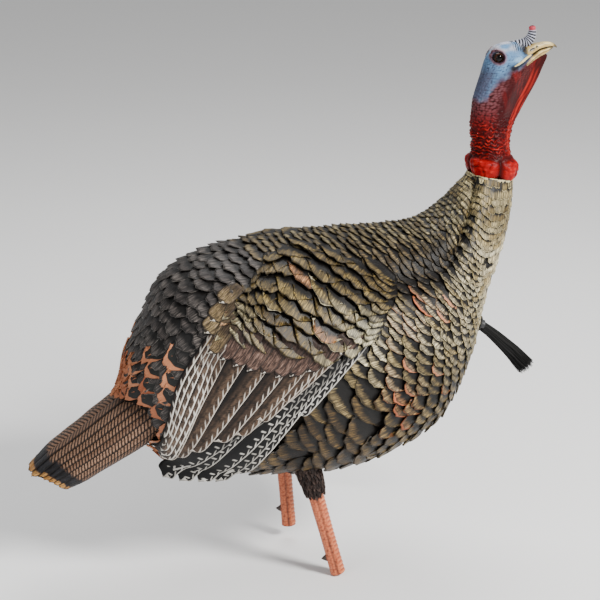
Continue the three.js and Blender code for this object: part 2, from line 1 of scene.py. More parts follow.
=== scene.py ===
"""Turkey decoy: painted feather relief, head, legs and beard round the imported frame."""
import math
import bpy
import numpy as np
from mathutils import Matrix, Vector


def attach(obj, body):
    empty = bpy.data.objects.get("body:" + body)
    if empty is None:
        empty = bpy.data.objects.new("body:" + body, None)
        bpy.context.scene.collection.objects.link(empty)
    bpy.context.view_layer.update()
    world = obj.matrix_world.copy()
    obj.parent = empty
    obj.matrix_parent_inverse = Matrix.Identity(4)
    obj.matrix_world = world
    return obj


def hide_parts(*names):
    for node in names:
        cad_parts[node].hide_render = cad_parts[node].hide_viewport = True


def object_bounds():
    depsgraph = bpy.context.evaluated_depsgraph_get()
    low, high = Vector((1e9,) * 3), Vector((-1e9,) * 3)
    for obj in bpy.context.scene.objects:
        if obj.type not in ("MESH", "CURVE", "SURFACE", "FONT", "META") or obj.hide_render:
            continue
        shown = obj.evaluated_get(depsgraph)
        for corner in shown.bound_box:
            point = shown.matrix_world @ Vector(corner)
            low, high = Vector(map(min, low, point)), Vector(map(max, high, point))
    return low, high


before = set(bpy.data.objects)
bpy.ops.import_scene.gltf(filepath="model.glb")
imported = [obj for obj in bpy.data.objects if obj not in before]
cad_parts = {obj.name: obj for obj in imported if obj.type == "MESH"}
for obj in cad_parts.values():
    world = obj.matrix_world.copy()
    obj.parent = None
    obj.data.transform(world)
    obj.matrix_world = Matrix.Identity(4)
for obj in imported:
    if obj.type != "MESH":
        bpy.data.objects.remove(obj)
cad_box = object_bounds()
MM = 0.001
TURN = 2 * math.pi


# ---------------------------------------------------------------- helpers
def lin(r, g, b):
    """Linear colour of an sRGB triple out of 255."""
    v = np.array([r, g, b]) / 255.0
    return np.where(v <= 0.04045, v / 12.92, ((v + 0.055) / 1.055) ** 2.4)


def smooth(lo, hi, v):
    s = np.clip((np.asarray(v, float) - lo) / (hi - lo), 0, 1)
    return s * s * (3 - 2 * s)


def bell(v, width):
    return np.exp(-((v / width) ** 2))


def blend(a, b, t):
    return a * (1 - t) + b * t


def bent(v, power):
    """A power that keeps the sign."""
    return np.sign(v) * np.abs(v) ** power


def unit(v):
    return v / np.maximum(np.linalg.norm(v, axis=-1, keepdims=True), 1e-9)


def run_length(points):
    """Distance walked along a line of points, from 0."""
    steps = np.linalg.norm(np.diff(points, axis=0), axis=1)
    return np.concatenate([[0], np.cumsum(steps)])


def circle(count):
    return np.linspace(0, TURN, count, endpoint=False)


def wave(x, y, z, seed):
    """A cheap smooth pseudo-noise in -1..1 from summed sines."""
    r = np.random.default_rng(seed)
    total = 0
    for i in range(5):
        f = r.normal(size=3) * (0.6 + 0.55 * i)
        total = total + np.sin(f[0] * x + f[1] * y + f[2] * z + r.uniform(0, 6.28)) / (1 + 0.5 * i)
    return total / 2.6


def add_object(name, data):
    obj = bpy.data.objects.new(name, data)
    bpy.context.collection.objects.link(obj)
    return obj


def build(name, verts_mm, faces, mat, body, attrs=None):
    """A smooth mesh piece that rides on a body, with the given material."""
    mesh = bpy.data.meshes.new(name)
    mesh.from_pydata((np.asarray(verts_mm) * MM).tolist(), [], faces)
    mesh.validate()
    for key, data in (attrs or {}).items():
        kind, field = ("COLOR", "color") if data.shape[1] == 4 else ("VECTOR", "vector")
        attribute = mesh.attributes.new(key, f"FLOAT_{kind}", "POINT")
        attribute.data.foreach_set(field, data.astype(np.float32).ravel())
    mesh.polygons.foreach_set("use_smooth", [True] * len(mesh.polygons))
    mesh.update()
    obj = add_object(name, mesh)
    mesh.materials.append(mat)
    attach(obj, body)
    return obj


def grid_faces(rows, cols, wrap=False, start=0):
    r = np.arange(rows - 1)[:, None]
    c = np.arange(cols if wrap else cols - 1)[None, :]
    n = (c + 1) % cols
    a = start + r * cols + c
    b = start + r * cols + n
    return np.stack([a, b, b + cols, a + cols], -1).reshape(-1, 4)


def loft_faces(rows, cols):
    """Faces of a closed piece through rings of points, with a flat face at each end."""
    end = (rows - 1) * cols
    faces = grid_faces(rows, cols, wrap=True).tolist()
    return faces + [list(range(cols))[::-1], list(range(end, end + cols))]


def rgba(colours):
    colours = np.asarray(colours, float)
    return np.concatenate([colours, np.ones(colours.shape[:-1] + (1,))], -1).reshape(-1, 4)


# ---------------------------------------------------------------- node nets
class Signal:
    """A node output that takes part in sums and products."""

    def __init__(self, net, socket):
        self.net, self.socket = net, socket

    def __add__(self, other):
        return self.net.math("ADD", self, other)

    def __mul__(self, other):
        return self.net.math("MULTIPLY", self, other)

    def __sub__(self, other):
        return self.net.math("SUBTRACT", self, other)

    def __rsub__(self, other):
        return self.net.math("SUBTRACT", other, self)

    def __truediv__(self, other):
        return self.net.math("DIVIDE", self, other)

    def __abs__(self):
        return self.net.math("ABSOLUTE", self)

    __radd__, __rmul__ = __add__, __mul__


class Net:
    """A small material-node writer."""

    def __init__(self, name):
        self.mat = bpy.data.materials.new(name)
        self.mat.use_nodes = True
        self.tree = self.mat.node_tree
        self.tree.nodes.clear()
        self.bsdf = self.tree.nodes.new("ShaderNodeBsdfPrincipled")
        out = self.tree.nodes.new("ShaderNodeOutputMaterial")
        self.tree.links.new(self.bsdf.outputs[0], out.inputs[0])

    def put(self, socket, v):
        if isinstance(v, Signal):
            self.tree.links.new(v.socket, socket)
        elif v is not None:
            socket.default_value = v

    def node(self, kind, inputs=(), output=0, **props):
        """A node with its inputs filled, by order or by name; returns one output."""
        n = self.tree.nodes.new("ShaderNode" + kind)
        for key, v in props.items():
            setattr(n, key, v)
        for key, v in inputs.items() if isinstance(inputs, dict) else enumerate(inputs):
            self.put(n.inputs[key], v)
        return Signal(self, n.outputs[output])

    def math(self, op, *values, clamp=False):
        return self.node("Math", values, operation=op, use_clamp=clamp)

    def step(self, v, lo, hi):
        return self.node("MapRange", (v, lo, hi, 0.0, 1.0), interpolation_type="SMOOTHSTEP")

    def below(self, v, lo, hi):
        return 1.0 - self.step(v, lo, hi)

    def mix(self, fac, a, b, mode="MIX"):
        """Mixes two colours, each a signal or a linear triple."""
        a, b = (v if isinstance(v, Signal) else (*v, 1.0) for v in (a, b))
        return self.node("Mix", {0: fac, 6: a, 7: b}, 2, data_type="RGBA", blend_type=mode)

    def coats(self, base, *coats):
        """Lays (mask, colour) coats over a base; a plain colour is sRGB out of 255."""
        for mask, colour in coats:
            base = self.mix(mask, base, colour if isinstance(colour, Signal) else lin(*colour))
        return base

    def colour(self, name):
        return self.node("Attribute", attribute_name=name)

    def axes(self, vector):
        first = self.node("SeparateXYZ", (vector,))
        return [Signal(self, s) for s in first.socket.node.outputs]

    def split(self, name):
        return self.axes(self.node("Attribute", (), "Vector", attribute_name=name))

    def vec(self, *parts):
        return self.node("CombineXYZ", parts)

    def noise(self, vector, scale, detail=3.0, rough=0.55):
        fixed = {"Vector": vector, "Scale": scale, "Detail": detail, "Roughness": rough}
        return self.node("TexNoise", fixed)

    def place(self):
        return self.node("TexCoord", (), "Object")

    def bump(self, height, strength, distance, prior=None):
        fixed = {"Strength": strength, "Distance": distance, "Height": height, "Normal": prior}
        return self.node("Bump", fixed)

    def done(self, colour, rough, normal=None, **fixed):
        fixed.update({"Base_Color": colour, "Roughness": rough, "Normal": normal})
        for key, v in fixed.items():
            self.put(self.bsdf.inputs[key.replace("_", " ")], v)
        return self.mat


# ---------------------------------------------------------------- body surface
# Stations from tail root to collar, millimetres: back (x, z), belly (x, z), half width.
STATIONS = [
    ((-277, 84), (-246, 34), 55),
    ((-258, 106), (-227, 42), 52),
    ((-238, 130), (-206, 54), 42),
    ((-225, 172), (-182, 38), 68),
    ((-204, 218), (-150, 28), 92),
    ((-175, 270), (-112, 18), 109),
    ((-129, 299), (-72, 10), 118),
    ((-70, 311), (-30, 7), 123),
    ((0, 318), (15, 5), 125),
    ((60, 321), (70, 11), 123),
    ((112, 322), (122, 29), 116),
    ((153, 326), (167, 54), 106),
    ((176, 336), (196, 92), 94),
    ((190, 347), (217.5, 138), 81),
    ((202, 359), (233, 189), 68),
    ((210, 370), (248, 236), 56),
    ((217, 379), (266.5, 284), 46),
    ((221, 386), (279, 334), 38),
    ((224, 392), (284, 382), 31),
]
TAIL_STATIONS = 2       # stations behind the rump end, hidden under the tail
POWER = 2.25            # of the superellipse that every section follows
FINE = 24               # sections between two stations
ROUND = 360             # points round a section
SKIN_DEPTH = 1.5        # how far the surface lies under the outline, mm


def spline(points, where):
    """Centripetal Catmull-Rom through points at index positions where."""
    p = np.asarray(points, float)
    p = np.vstack([2 * p[0] - p[1], p, 2 * p[-1] - p[-2]])
    i = np.clip(np.floor(where).astype(int), 0, len(p) - 4)
    t = (where - i)[:, None]
    p0, p1, p2, p3 = (p[i + j] for j in range(4))
    d0, d1, d2 = (
        np.maximum(np.linalg.norm(b - a, axis=1), 1e-6)[:, None] ** 0.5
        for a, b in ((p0, p1), (p1, p2), (p2, p3))
    )
    m1 = ((p1 - p0) / d0 - (p2 - p0) / (d0 + d1) + (p2 - p1) / d1) * d1
    m2 = ((p2 - p1) / d1 - (p3 - p1) / (d1 + d2) + (p3 - p2) / d2) * d1
    return (
        p1 + m1 * t + (-3 * p1 + 3 * p2 - 2 * m1 - m2) * t**2 + (2 * p1 - 2 * p2 + m1 + m2) * t**3
    )


def across(points):
    """Middle and half reach of each section from its back and belly points."""
    back, belly = points[:, 0:2], points[:, 2:4]
    return (back + belly) / 2, (back - belly) / 2


where = np.linspace(0, len(STATIONS) - 1, (len(STATIONS) - 1) * FINE + 1)
track = spline([(*back, *belly, half) for back, belly, half in STATIONS], where)
station = where - TAIL_STATIONS           # 0 at the rump end, 16 at the collar


def superellipse(turn):
    return bent(np.cos(turn), 2 / POWER), bent(np.sin(turn), 2 / POWER)


def even_angles(count):
    """Angles that walk round the superellipse in even steps."""
    turn = np.linspace(0, TURN, 4001)
    walked = run_length(np.stack(superellipse(turn), -1))
    return np.interp(np.linspace(0, walked[-1], count), walked, turn)


class Patch:
    """A surface sampled on an even (u, v) lattice, read back with bilinear weights."""

    def __init__(self, points, u0, du, v0, dv, probe, outward):
        """The normal at the lattice point probe is on the side of the vector outward."""
        self.p, self.u0, self.du, self.v0, self.dv = points, u0, du, v0, dv
        self.n = unit(np.cross(np.gradient(points, axis=0), np.gradient(points, axis=1)))
        if self.n[probe] @ outward < 0:
            self.n = -self.n

    def at(self, u, v):
        i = np.clip((u - self.u0) / self.du, 0, self.p.shape[0] - 1.001)
        j = np.clip((v - self.v0) / self.dv, 0, self.p.shape[1] - 1.001)
        a, b = np.floor(i).astype(int), np.floor(j).astype(int)
        f, g = (i - a)[..., None], (j - b)[..., None]
        out = []
        for t in (self.p, self.n):
            out.append(
                (t[a, b] * (1 - f) + t[a + 1, b] * f) * (1 - g)
                + (t[a, b + 1] * (1 - f) + t[a + 1, b + 1] * f) * g
            )
        return out[0], unit(out[1])


def side_of(v):
    """0 on the back line, 1 on the belly line."""
    return np.minimum(v % 1, 1 - v % 1) * 2


def crease(k, v):
    """Depth of the fold between the mantle and the crop lobe, both sides of the neck."""
    side = side_of(v) * 180
    line = np.interp(k, [6.5, 8, 10.5, 13.0, 14.5, 16], [50, 46, 50, 42, 33, 26])
    width = np.interp(k, [6, 9, 13, 16], [9.0, 9.0, 10.0, 12.0])
    fade = smooth(5.8, 7.5, k) * (1 - smooth(14.8, 16, k) * 0.75)
    return fade * (3.0 * bell(side - line - 26, 16) - 9.5 * bell(side - line, width))


def body_patch():
    c, s = superellipse(even_angles(ROUND + 1))
    mid, reach = across(track)
    x = mid[:, :1] + reach[:, :1] * c
    z = mid[:, 1:] + reach[:, 1:] * c
    points = np.stack([x, track[:, 4:] * s, z], -1)
    lattice = (station[0], 1 / FINE, 0, 1 / ROUND, (200, 0), (0, 0, 1))
    outline = Patch(points, *lattice)
    relief = crease(station[:, None], np.linspace(0, 1, ROUND + 1)) - SKIN_DEPTH
    return Patch(points + outline.n * relief[..., None], *lattice)


BODY = body_patch()


# ---------------------------------------------------------------- wing surface
WING_X0, WING_V0, WING_STEP = -230.0, -10.0, 4.0
SHOULDER = 240.0      # above this level the flank is measured along its curve
TOP_SHARE = 0.9995    # share of a section's reach that counts as its top


def flank_lattice():
    """The right flank: x forward, v the height, then the way over the shoulder to the back."""
    xs = np.arange(WING_X0, 150, WING_STEP)
    zs = np.arange(WING_V0, 342, 1.0)
    vs = np.arange(WING_V0, 420, WING_STEP)
    keep = station >= 0
    mid, reach = across(track[keep])
    off = np.stack(np.meshgrid(xs, zs, indexing="ij"), -1)[..., None, :] - mid
    free = (off * reach).sum(-1) / (reach**2).sum(-1)
    miss = np.linalg.norm(off - np.clip(free, -1, 1)[..., None] * reach, axis=-1)
    best = miss.argmin(-1)
    share = np.take_along_axis(free, best[..., None], -1)[..., 0]
    y = track[keep, 4][best] * (1 - np.abs(np.clip(share, -0.8, 1)) ** POWER) ** (1 / POWER)
    rows = []
    for x, shares, wide in zip(xs, share, y):
        over_top = shares > TOP_SHARE
        top = np.argmax(over_top) if over_top.any() else len(zs) - 1
        z, wide = zs[: top + 1], wide[: top + 1]
        step = np.hypot(np.diff(z), np.diff(wide))
        step[z[1:] <= SHOULDER] = 1.0
        v = WING_V0 + np.concatenate([[0], np.cumsum(step)])
        over = np.maximum(vs - v[-1], 0)
        y_row = over - np.interp(vs, v, wide)
        rows.append(np.stack([x + 0 * vs, y_row, np.interp(vs, v, z)], -1))
    p = np.array(rows)
    for _ in range(4):
        near = p[:-2, 1:-1] + p[2:, 1:-1] + p[1:-1, :-2] + p[1:-1, 2:]
        p[1:-1, 1:-1] = (p[1:-1, 1:-1] * 2 + near) / 6
    return p


RIGHTWARD = (0, -1, 0)
WING = Patch(flank_lattice(), WING_X0, WING_STEP, WING_V0, WING_STEP, (40, 40), RIGHTWARD)


# ---------------------------------------------------------------- feathers
class Feathers:
    """Many closed feathers on a patch, gathered into one mesh. Each is a grid of points
    (l: 0 at the root to 1 at the tip, a: -1 to 1 across), a skirt round it and one face
    under it."""

    UNDER_INSET = 0.04      # how much the underside is drawn in

    def __init__(self, rows, cols):
        self.rows, self.cols = rows, cols
        s = np.linspace(0, 1, rows)
        self.l = (1 - (1 - s) ** 1.35)[:, None] * np.ones((1, cols))
        self.a = np.linspace(-1, 1, cols)[None, :] * np.ones((rows, 1))
        idx = np.arange(rows * cols).reshape(rows, cols)
        ring = np.concatenate([idx[0, :], idx[1:, -1], idx[-1, -2::-1], idx[-2:0:-1, 0]])
        self.ring, self.low = ring, rows * cols + np.arange(len(ring))
        skirt = np.stack([np.roll(ring, -1), ring, self.low, np.roll(self.low, -1)], -1)
        self.shell = np.concatenate([grid_faces(rows, cols), skirt])
        self.points, self.faces, self.data = [], [], {}
        self.count = 0

    def add(self, patch, u, v, h, thick, fea, feb, tone, rim, mirror=False):
        """u, v, h: (n, rows, cols) lattice coordinates and height above the patch."""
        p, n = patch.at(u, v)
        count = len(u)
        flat = (p + n * h[..., None]).reshape(count, -1, 3)
        under = (p + n * (h - thick)[..., None]).reshape(count, -1, 3)[:, self.ring]
        under = under + (flat.mean(1, keepdims=True) - under) * self.UNDER_INSET
        points = np.concatenate([flat, under], 1) * (1, -1 if mirror else 1, 1)
        way = -1 if mirror else 1
        for i in range(self.count, self.count + count):
            first = i * points.shape[1]
            self.faces += (self.shell + first)[:, ::way].tolist()
            self.faces.append((self.low + first)[::-way].tolist())
        self.points.append(points.reshape(-1, 3))
        self.count += count
        grids = {"fea": fea, "feb": feb, "tone": rgba(tone)[:, None], "rim": rgba(rim)[:, None]}
        for key, d in grids.items():
            size = (count, self.rows * self.cols, d.shape[-1])
            d = np.broadcast_to(d.reshape(count, -1, size[2]), size)
            d = np.concatenate([d, d[:, self.ring]], 1)
            self.data.setdefault(key, []).append(d.reshape(-1, size[2]))

    def finish(self, name, mat, slot):
        attrs = {k: np.concatenate(v) for k, v in self.data.items()}
        return build(name, np.concatenate(self.points), self.faces, mat, "body", attrs)


def tiles(f, patch, u, v, du, dv, skew, length, half, lift, camber, thick, tone, rim, kind, seed,
          mirror=False, blunt=0.2, slope=0.0, roll=0.0, power=2.6):
    """Adds one broad round-ended feather per entry. Its root is at (u, v); du is its length,
    dv its half width and skew its sideways run in patch steps. length and half are the same
    in mm, lift is the height of its tip, camber its crown, kind its rim's width. slope
    carries its right edge down in u steps, roll lifts that edge, and blunt and power round
    off its end."""
    r = np.random.default_rng(seed)
    n = len(u)
    col = lambda x: np.broadcast_to(np.asarray(x, float), (n,))[:, None, None]
    l, a = f.l[None], f.a[None]
    width = 0.6 + 0.4 * smooth(0, 0.5, l) - 0.14 * smooth(0.75, 1.0, l)
    ragged = 1 + 0.035 * np.sin(a * 9 + col(r.uniform(0, 6.28, n))) * l**3
    ragged = ragged + 0.02 * r.normal(size=(n, f.rows, f.cols)) * (l > 0.97)
    along = l * (1 - blunt * l * np.abs(a) ** power) * ragged
    uu = col(u) + col(du) * along + col(slope) * (a * width)
    vv = col(v) + col(dv) * (a * width) + col(skew) * along
    arch = (1 - np.abs(a) ** 2.2) * (0.35 + 0.65 * l)
    shaft = 0.35 * bell(a, 0.12) * smooth(0.1, 0.6, l)
    curl = 0.25 * np.sin(a * 5 + col(r.uniform(0, 6.28, n))) * l**2
    h = 0.2 + col(lift) * l**1.25 + col(camber) * (arch + shaft + curl)
    h = h + col(r.uniform(0, 0.5, n)) + col(roll) * a * l
    rnd = col(r.uniform(0, 1, n))
    fea = np.stack(np.broadcast_arrays(a, l, rnd + 0 * h), -1)
    feb = np.stack(np.broadcast_arrays(col(half) * width, col(length), col(kind) + 0 * h), -1)
    f.add(patch, uu, vv, h, thick, fea, feb, tone, rim, mirror)


def feather_mm(patch, u, v, length, grip, spread):
    """Length and half width in mm of feathers rooted at (u, v), grip steps before the width
    is taken over spread steps."""
    at = lambda du, dv: patch.at(u + du, v + dv)[0]
    mm_long = np.linalg.norm(at(length, 0) - at(0, 0), axis=1)
    wide = at(grip, 0.5 * spread) - at(grip, -0.5 * spread)
    return mm_long, np.linalg.norm(wide, axis=1) / 2


def bricks(rows, columns):
    """Row and place round (0 to 1) of feathers laid like bricks."""
    return [(row, (c + 0.5 * (row % 2)) / columns) for row in range(rows) for c in range(columns)]


def drawn_colours(r, n, spread, first, second):
    """n linear colours scattered between two sRGB ones."""
    t = np.clip(0.5 + spread * r.normal(0, 1, n), 0, 1)[:, None]
    return blend(lin(*first), lin(*second), t)


# near-black paint: the black wash, and the painted shade under the feather above and at the free
# edge
WASH_AND_SHADE = (6, 4, 3)


def feather_material(name, streak_mm=0.7, root_wash_and_shade=(0.60, 0.84), gloss=0.46, lines=0.84, border=3.0,
                     wobble=2.2, rimmed=(0.5, 0.72), edged=True):
    """Paint over moulded barbs: washed black, with painted shade, under the feather above and
    round the free edge, dry-brushed tone with pale barbs along the middle, a painted highlight,
    and a painted rim where there is one, along the tip alone or along the side edges too."""
    m = Net(name)
    a, l, rnd = m.split("fea")
    half, length, kind = m.split("feb")
    tone = m.colour("tone")
    side = abs(a)
    over = a * half * (1.25 - l * 0.3) * (1.0 / streak_mm)
    flow = l * (length * 0.06) + side * (half * 0.02)
    barbs = m.noise(m.vec(over, flow, rnd * 91.0), 0.8, 3.0, 0.7)
    coarse = m.noise(m.vec(over * 0.25, flow, rnd * 37.0), 1.0, 2.0)
    patchy = m.noise(m.place(), 55.0, 4.0, 0.65)
    near = (1.0 - l) * length
    if edged:
        near = m.math("MINIMUM", (1.0 - side) * half, near)
    near = near + (coarse - 0.5) * wobble
    rim_mask = m.below(near, kind, kind + 0.8) * m.step(l, *rimmed)
    # inner keeps a dark border inside the free edge and brushed keeps the root dark: washed black
    # and painted shade
    inner = m.step(near - kind, 0.1, (rnd + 0.55) * border)
    brushed = m.step(l + (coarse - 0.5) * 0.3, *root_wash_and_shade) * (inner * 0.8 + 0.2)
    level = m.step(barbs, 0.40, 0.70) * lines + (1.0 - lines)
    lively = m.mix(m.step(patchy, 0.3, 0.72), lin(*WASH_AND_SHADE), tone)
    # painted highlight: the tone lifted towards cream on the barb tops outside the painted shade,
    # dry-brushed
    crest_highlight = m.step(barbs, 0.5, 0.68) * brushed * m.step(patchy, 0.38, 0.6)
    colour = m.coats(
        m.mix(brushed * level, lin(*WASH_AND_SHADE), m.mix(0.6, lively, tone)),
        (crest_highlight * 0.7, m.mix(1.0, tone, (1.7, 1.66, 1.55), "MULTIPLY")),
        (rim_mask * (level * 0.45 + 0.55), m.colour("rim")),
    )
    normal = m.bump(patchy, 0.25, 0.0006, m.bump(barbs, 0.9, 0.00035))
    return m.done(colour, barbs * 0.25 + (gloss - 0.12), normal, Specular_IOR_Level=0.25)


# ---------------------------------------------------------------- body feathers
def lattice_rows():
    """Stations of the feather rows on the back line and on the belly line, collar first."""
    belly, back = run_length(track[::-1, 2:4]), run_length(track[::-1, 0:2])
    steps, s = [], -4.0
    while s < belly[-1] - 8:
        steps.append(s)
        s += np.interp(s, [0, 90, 170, 280, 400, 700], [6.0, 6.8, 10.5, 14.0, 17.5, 18.0])
    share = np.linspace(0, 1, len(steps))
    pitch = np.interp(share, [0, 0.2, 0.4, 0.6, 0.72, 1], [4.2, 5.5, 8, 8.5, 13, 14.5])
    top = np.concatenate([[0], np.cumsum(pitch)[:-1]])
    top = top / top[-1] * (back[-1] - 10) - 4
    return np.interp(top, back, station[::-1]), np.interp(steps, belly, station[::-1])


class Woven:
    """The body patch read in feather rows: u counts rows from the collar, v goes round."""

    def __init__(self, patch, back, belly):
        self.patch, self.back, self.belly = patch, back, belly

    def station(self, u, v):
        i = np.arange(len(self.back))
        share = (1 + np.cos(TURN * v)) / 2
        return blend(np.interp(u, i, self.belly), np.interp(u, i, self.back), share)

    def at(self, u, v):
        v = v % 1.0
        return self.patch.at(self.station(u, v), v)


class CovertRows(Woven):
    """Rows of the tail coverts: they climb forward over the sides of the rump."""

    def __init__(self, patch):
        self.patch = patch

    def station(self, u, v):
        side = side_of(v)
        flank = np.interp(
            u, [-1, 0, 1.9, 2.9, 3.9, 4.9, 6.9], [2.7, 2.15, 1.15, 0.65, 0.05, -0.55, -1.8]
        )
        back = np.interp(
            u, [-1, 0, 1.7, 2.7, 3.7, 4.7, 6.9], [2.2, 1.35, 0.6, 0.2, -0.12, -0.45, -1.8]
        )
        climb = np.interp(
            side, [0, 0.1, 0.2, 0.3, 0.4, 0.5, 0.6, 0.72, 0.85, 1],
            [0, 0.1, 0.38, 0.86, 1.4, 1.8, 1.2, 0.4, 0.9, 1.0],
        )
        return np.maximum(blend(back, flank, smooth(0.02, 0.3, side)) + climb, -2.0)


ROW_BACK, ROW_BELLY = lattice_rows()
ROWS = len(ROW_BACK)
WOVEN = Woven(BODY, ROW_BACK, ROW_BELLY)
COVERT_ROWS = CovertRows(BODY)
COLUMNS = 30                            # feathers round the body where nothing else is said
ZONE_COLUMNS = (18, 20, 24, 30, 34)
ROOT_BACK = 1.35                        # rows from a feather's root to its nominal place
FEATHER_ROWS = 2.35                     # length of a feather in rows
WING_COVER = 0.79                       # share of the wing outline with no feathers under it
FEATHER_THICK = 1.7
BLUNT = {"neck_feathers": 0.06, "breast_feathers": 0.4}
PLAIN_BLUNT = 0.22
WING_OUTLINE = np.array([
    (98, 246), (86, 270), (54, 296), (8, 310), (-45, 310), (-92, 288), (-126, 246), (-146, 200),
    (-166, 150), (-182, 98), (-190, 45), (-160, 14), (-120, 16), (-85, 30), (-47, 56), (-20, 96),
    (8, 144), (50, 192), (82, 214), (98, 238),
], float)


def inside(poly, x, z):
    hit = np.zeros(np.shape(x), bool)
    for (x0, z0), (x1, z1) in zip(poly, np.roll(poly, -1, axis=0)):
        cross = (z0 > z) != (z1 > z)
        with np.errstate(divide="ignore", invalid="ignore"):
            at = x0 + (z - z0) * (x1 - x0) / (z1 - z0)
        hit ^= cross & (x < at)
    return hit


def feather_columns(k, side):
    """How many feathers go round the body at station k, side 0 on the back to 1 on the belly."""
    if k > 13.0:
        return 18
    if 5.3 < k < 7.1 and 0.5 < side < 0.9:
        return 20
    if 7.1 <= k < 9.3 and side > 0.3:
        return 34
    if k >= 9.3 and side > 0.3:
        return 24
    return 30


def body_feathers():
    r = np.random.default_rng(11)
    laid = []
    for columns in ZONE_COLUMNS:
        for row, spot in bricks(ROWS, columns):
            k = float(WOVEN.station(np.array(row + 0.5), np.array(spot)))
            if feather_columns(k, side_of(spot)) == columns:
                laid.append((row, spot, 1 / columns))
    u, v, pitch = np.array(laid).T
    n = len(u)
    u = u + r.normal(0, 0.07, n) - ROOT_BACK
    v = v + COLUMNS * pitch * r.normal(0, 0.045 / COLUMNS, n)
    grip = FEATHER_ROWS * 0.8
    k = WOVEN.station(u + grip, v)
    p, normal = WOVEN.at(u + grip, v)
    mm_long, mm_half = feather_mm(WOVEN, u, v, FEATHER_ROWS, grip, pitch)
    x, y, z = p.T
    mid = WING_OUTLINE.mean(0)
    hidden = inside(mid + (WING_OUTLINE - mid) * WING_COVER, x, z) & (np.abs(y) > 34)
    legs = (np.abs(np.abs(y) - 62) < 12) & (z < 60) & (np.abs(x) < 22) & (normal[:, 2] < -0.3)
    flange = (np.hypot(x, y) < 30) & (z < 40)
    keep = ~(hidden | flange | legs) & (k > 1.0) & (u < ROWS - 0.5)
    side = side_of(v)
    tone, rim, kind = paint_body(x, y, z, k, side, r)
    lift = np.interp(k, [-1, 0.5, 2, 6, 9, 12, 14, 16], [4.2, 4.4, 4.2, 4.6, 4.6, 4.0, 2.6, 1.8])
    lift = lift * np.clip(mm_long / 26, 0.45, 1.15) * r.uniform(0.8, 1.2, n)
    camber = np.clip(mm_half * 0.13, 0.5, 1.9)
    wide = 0.58 * pitch * r.uniform(0.95, 1.1, n)
    skew = r.normal(0, 0.10 / COLUMNS, n)
    length = FEATHER_ROWS * r.uniform(0.92, 1.08, n)
    neck, back = k > 12.2, side < 0.42
    belly = (k <= 6.2) & (side >= 0.42) & ((side >= 0.55) | (k > 5.0))
    for name, chosen in (
        ("neck_feathers", neck),
        ("breast_feathers", ~neck & ~back & (k > 6.2)),
        ("mantle_feathers", ~neck & back & (k > 5.0)),
        ("rump_feathers", (k <= 5.0) & (side < 0.55)),
        ("belly_feathers", belly),
    ):
        c = keep & chosen
        f = Feathers(8, 9)
        tiles(
            f, WOVEN, u[c], v[c], length[c], wide[c], skew[c], mm_long[c], mm_half[c] * 1.1,
            lift[c], camber[c], FEATHER_THICK, tone[c], rim[c], kind[c], 5,
            blunt=BLUNT.get(name, PLAIN_BLUNT),
        )
        f.finish(name, NECK if name == "neck_feathers" else FEATHER, "feather_paint")


def tail_coverts():
    """Broad dark feathers with thick copper rims, nested in rows down to the tail."""
    r = np.random.default_rng(12)
    columns, rows, length, rim_mm, thick = 22, 4, 1.7, 7.2, 2.2
    u, v = np.array(bricks(rows, columns)).T
    n = len(u)
    u = np.maximum(u + r.normal(0, 0.05, n), -0.3)
    v = v + r.normal(0, 0.005, n)
    hand = np.where(v % 1 < 0.5, 1.0, -1.0)     # each overlaps the one nearer the back line
    mm_long, mm_half = feather_mm(COVERT_ROWS, u, v, length, 1.4, 1 / columns)
    tone = drawn_colours(r, n, 0.35, (14, 17, 16), (34, 36, 33))
    rim = drawn_colours(r, n, 0.35, (146, 80, 50), (194, 128, 90))
    du = length * r.uniform(0.96, 1.04, n)
    dv = 0.8 / columns * r.uniform(0.97, 1.08, n)
    skew = (r.normal(0, 0.03 / columns, n)) - 0.55 * hand / columns
    lift = 6.4 * r.uniform(0.95, 1.05, n)
    f = Feathers(14, 21)
    tiles(
        f, COVERT_ROWS, u, v, du, dv, skew, mm_long, mm_half * 1.6, lift, 0.35, thick,
        tone, rim, rim_mm, 7, blunt=0.55, power=2.0, roll=-1.3 * hand, slope=0.28 * hand,
    )
    f.finish("tail_coverts", COVERT, "feather_paint")


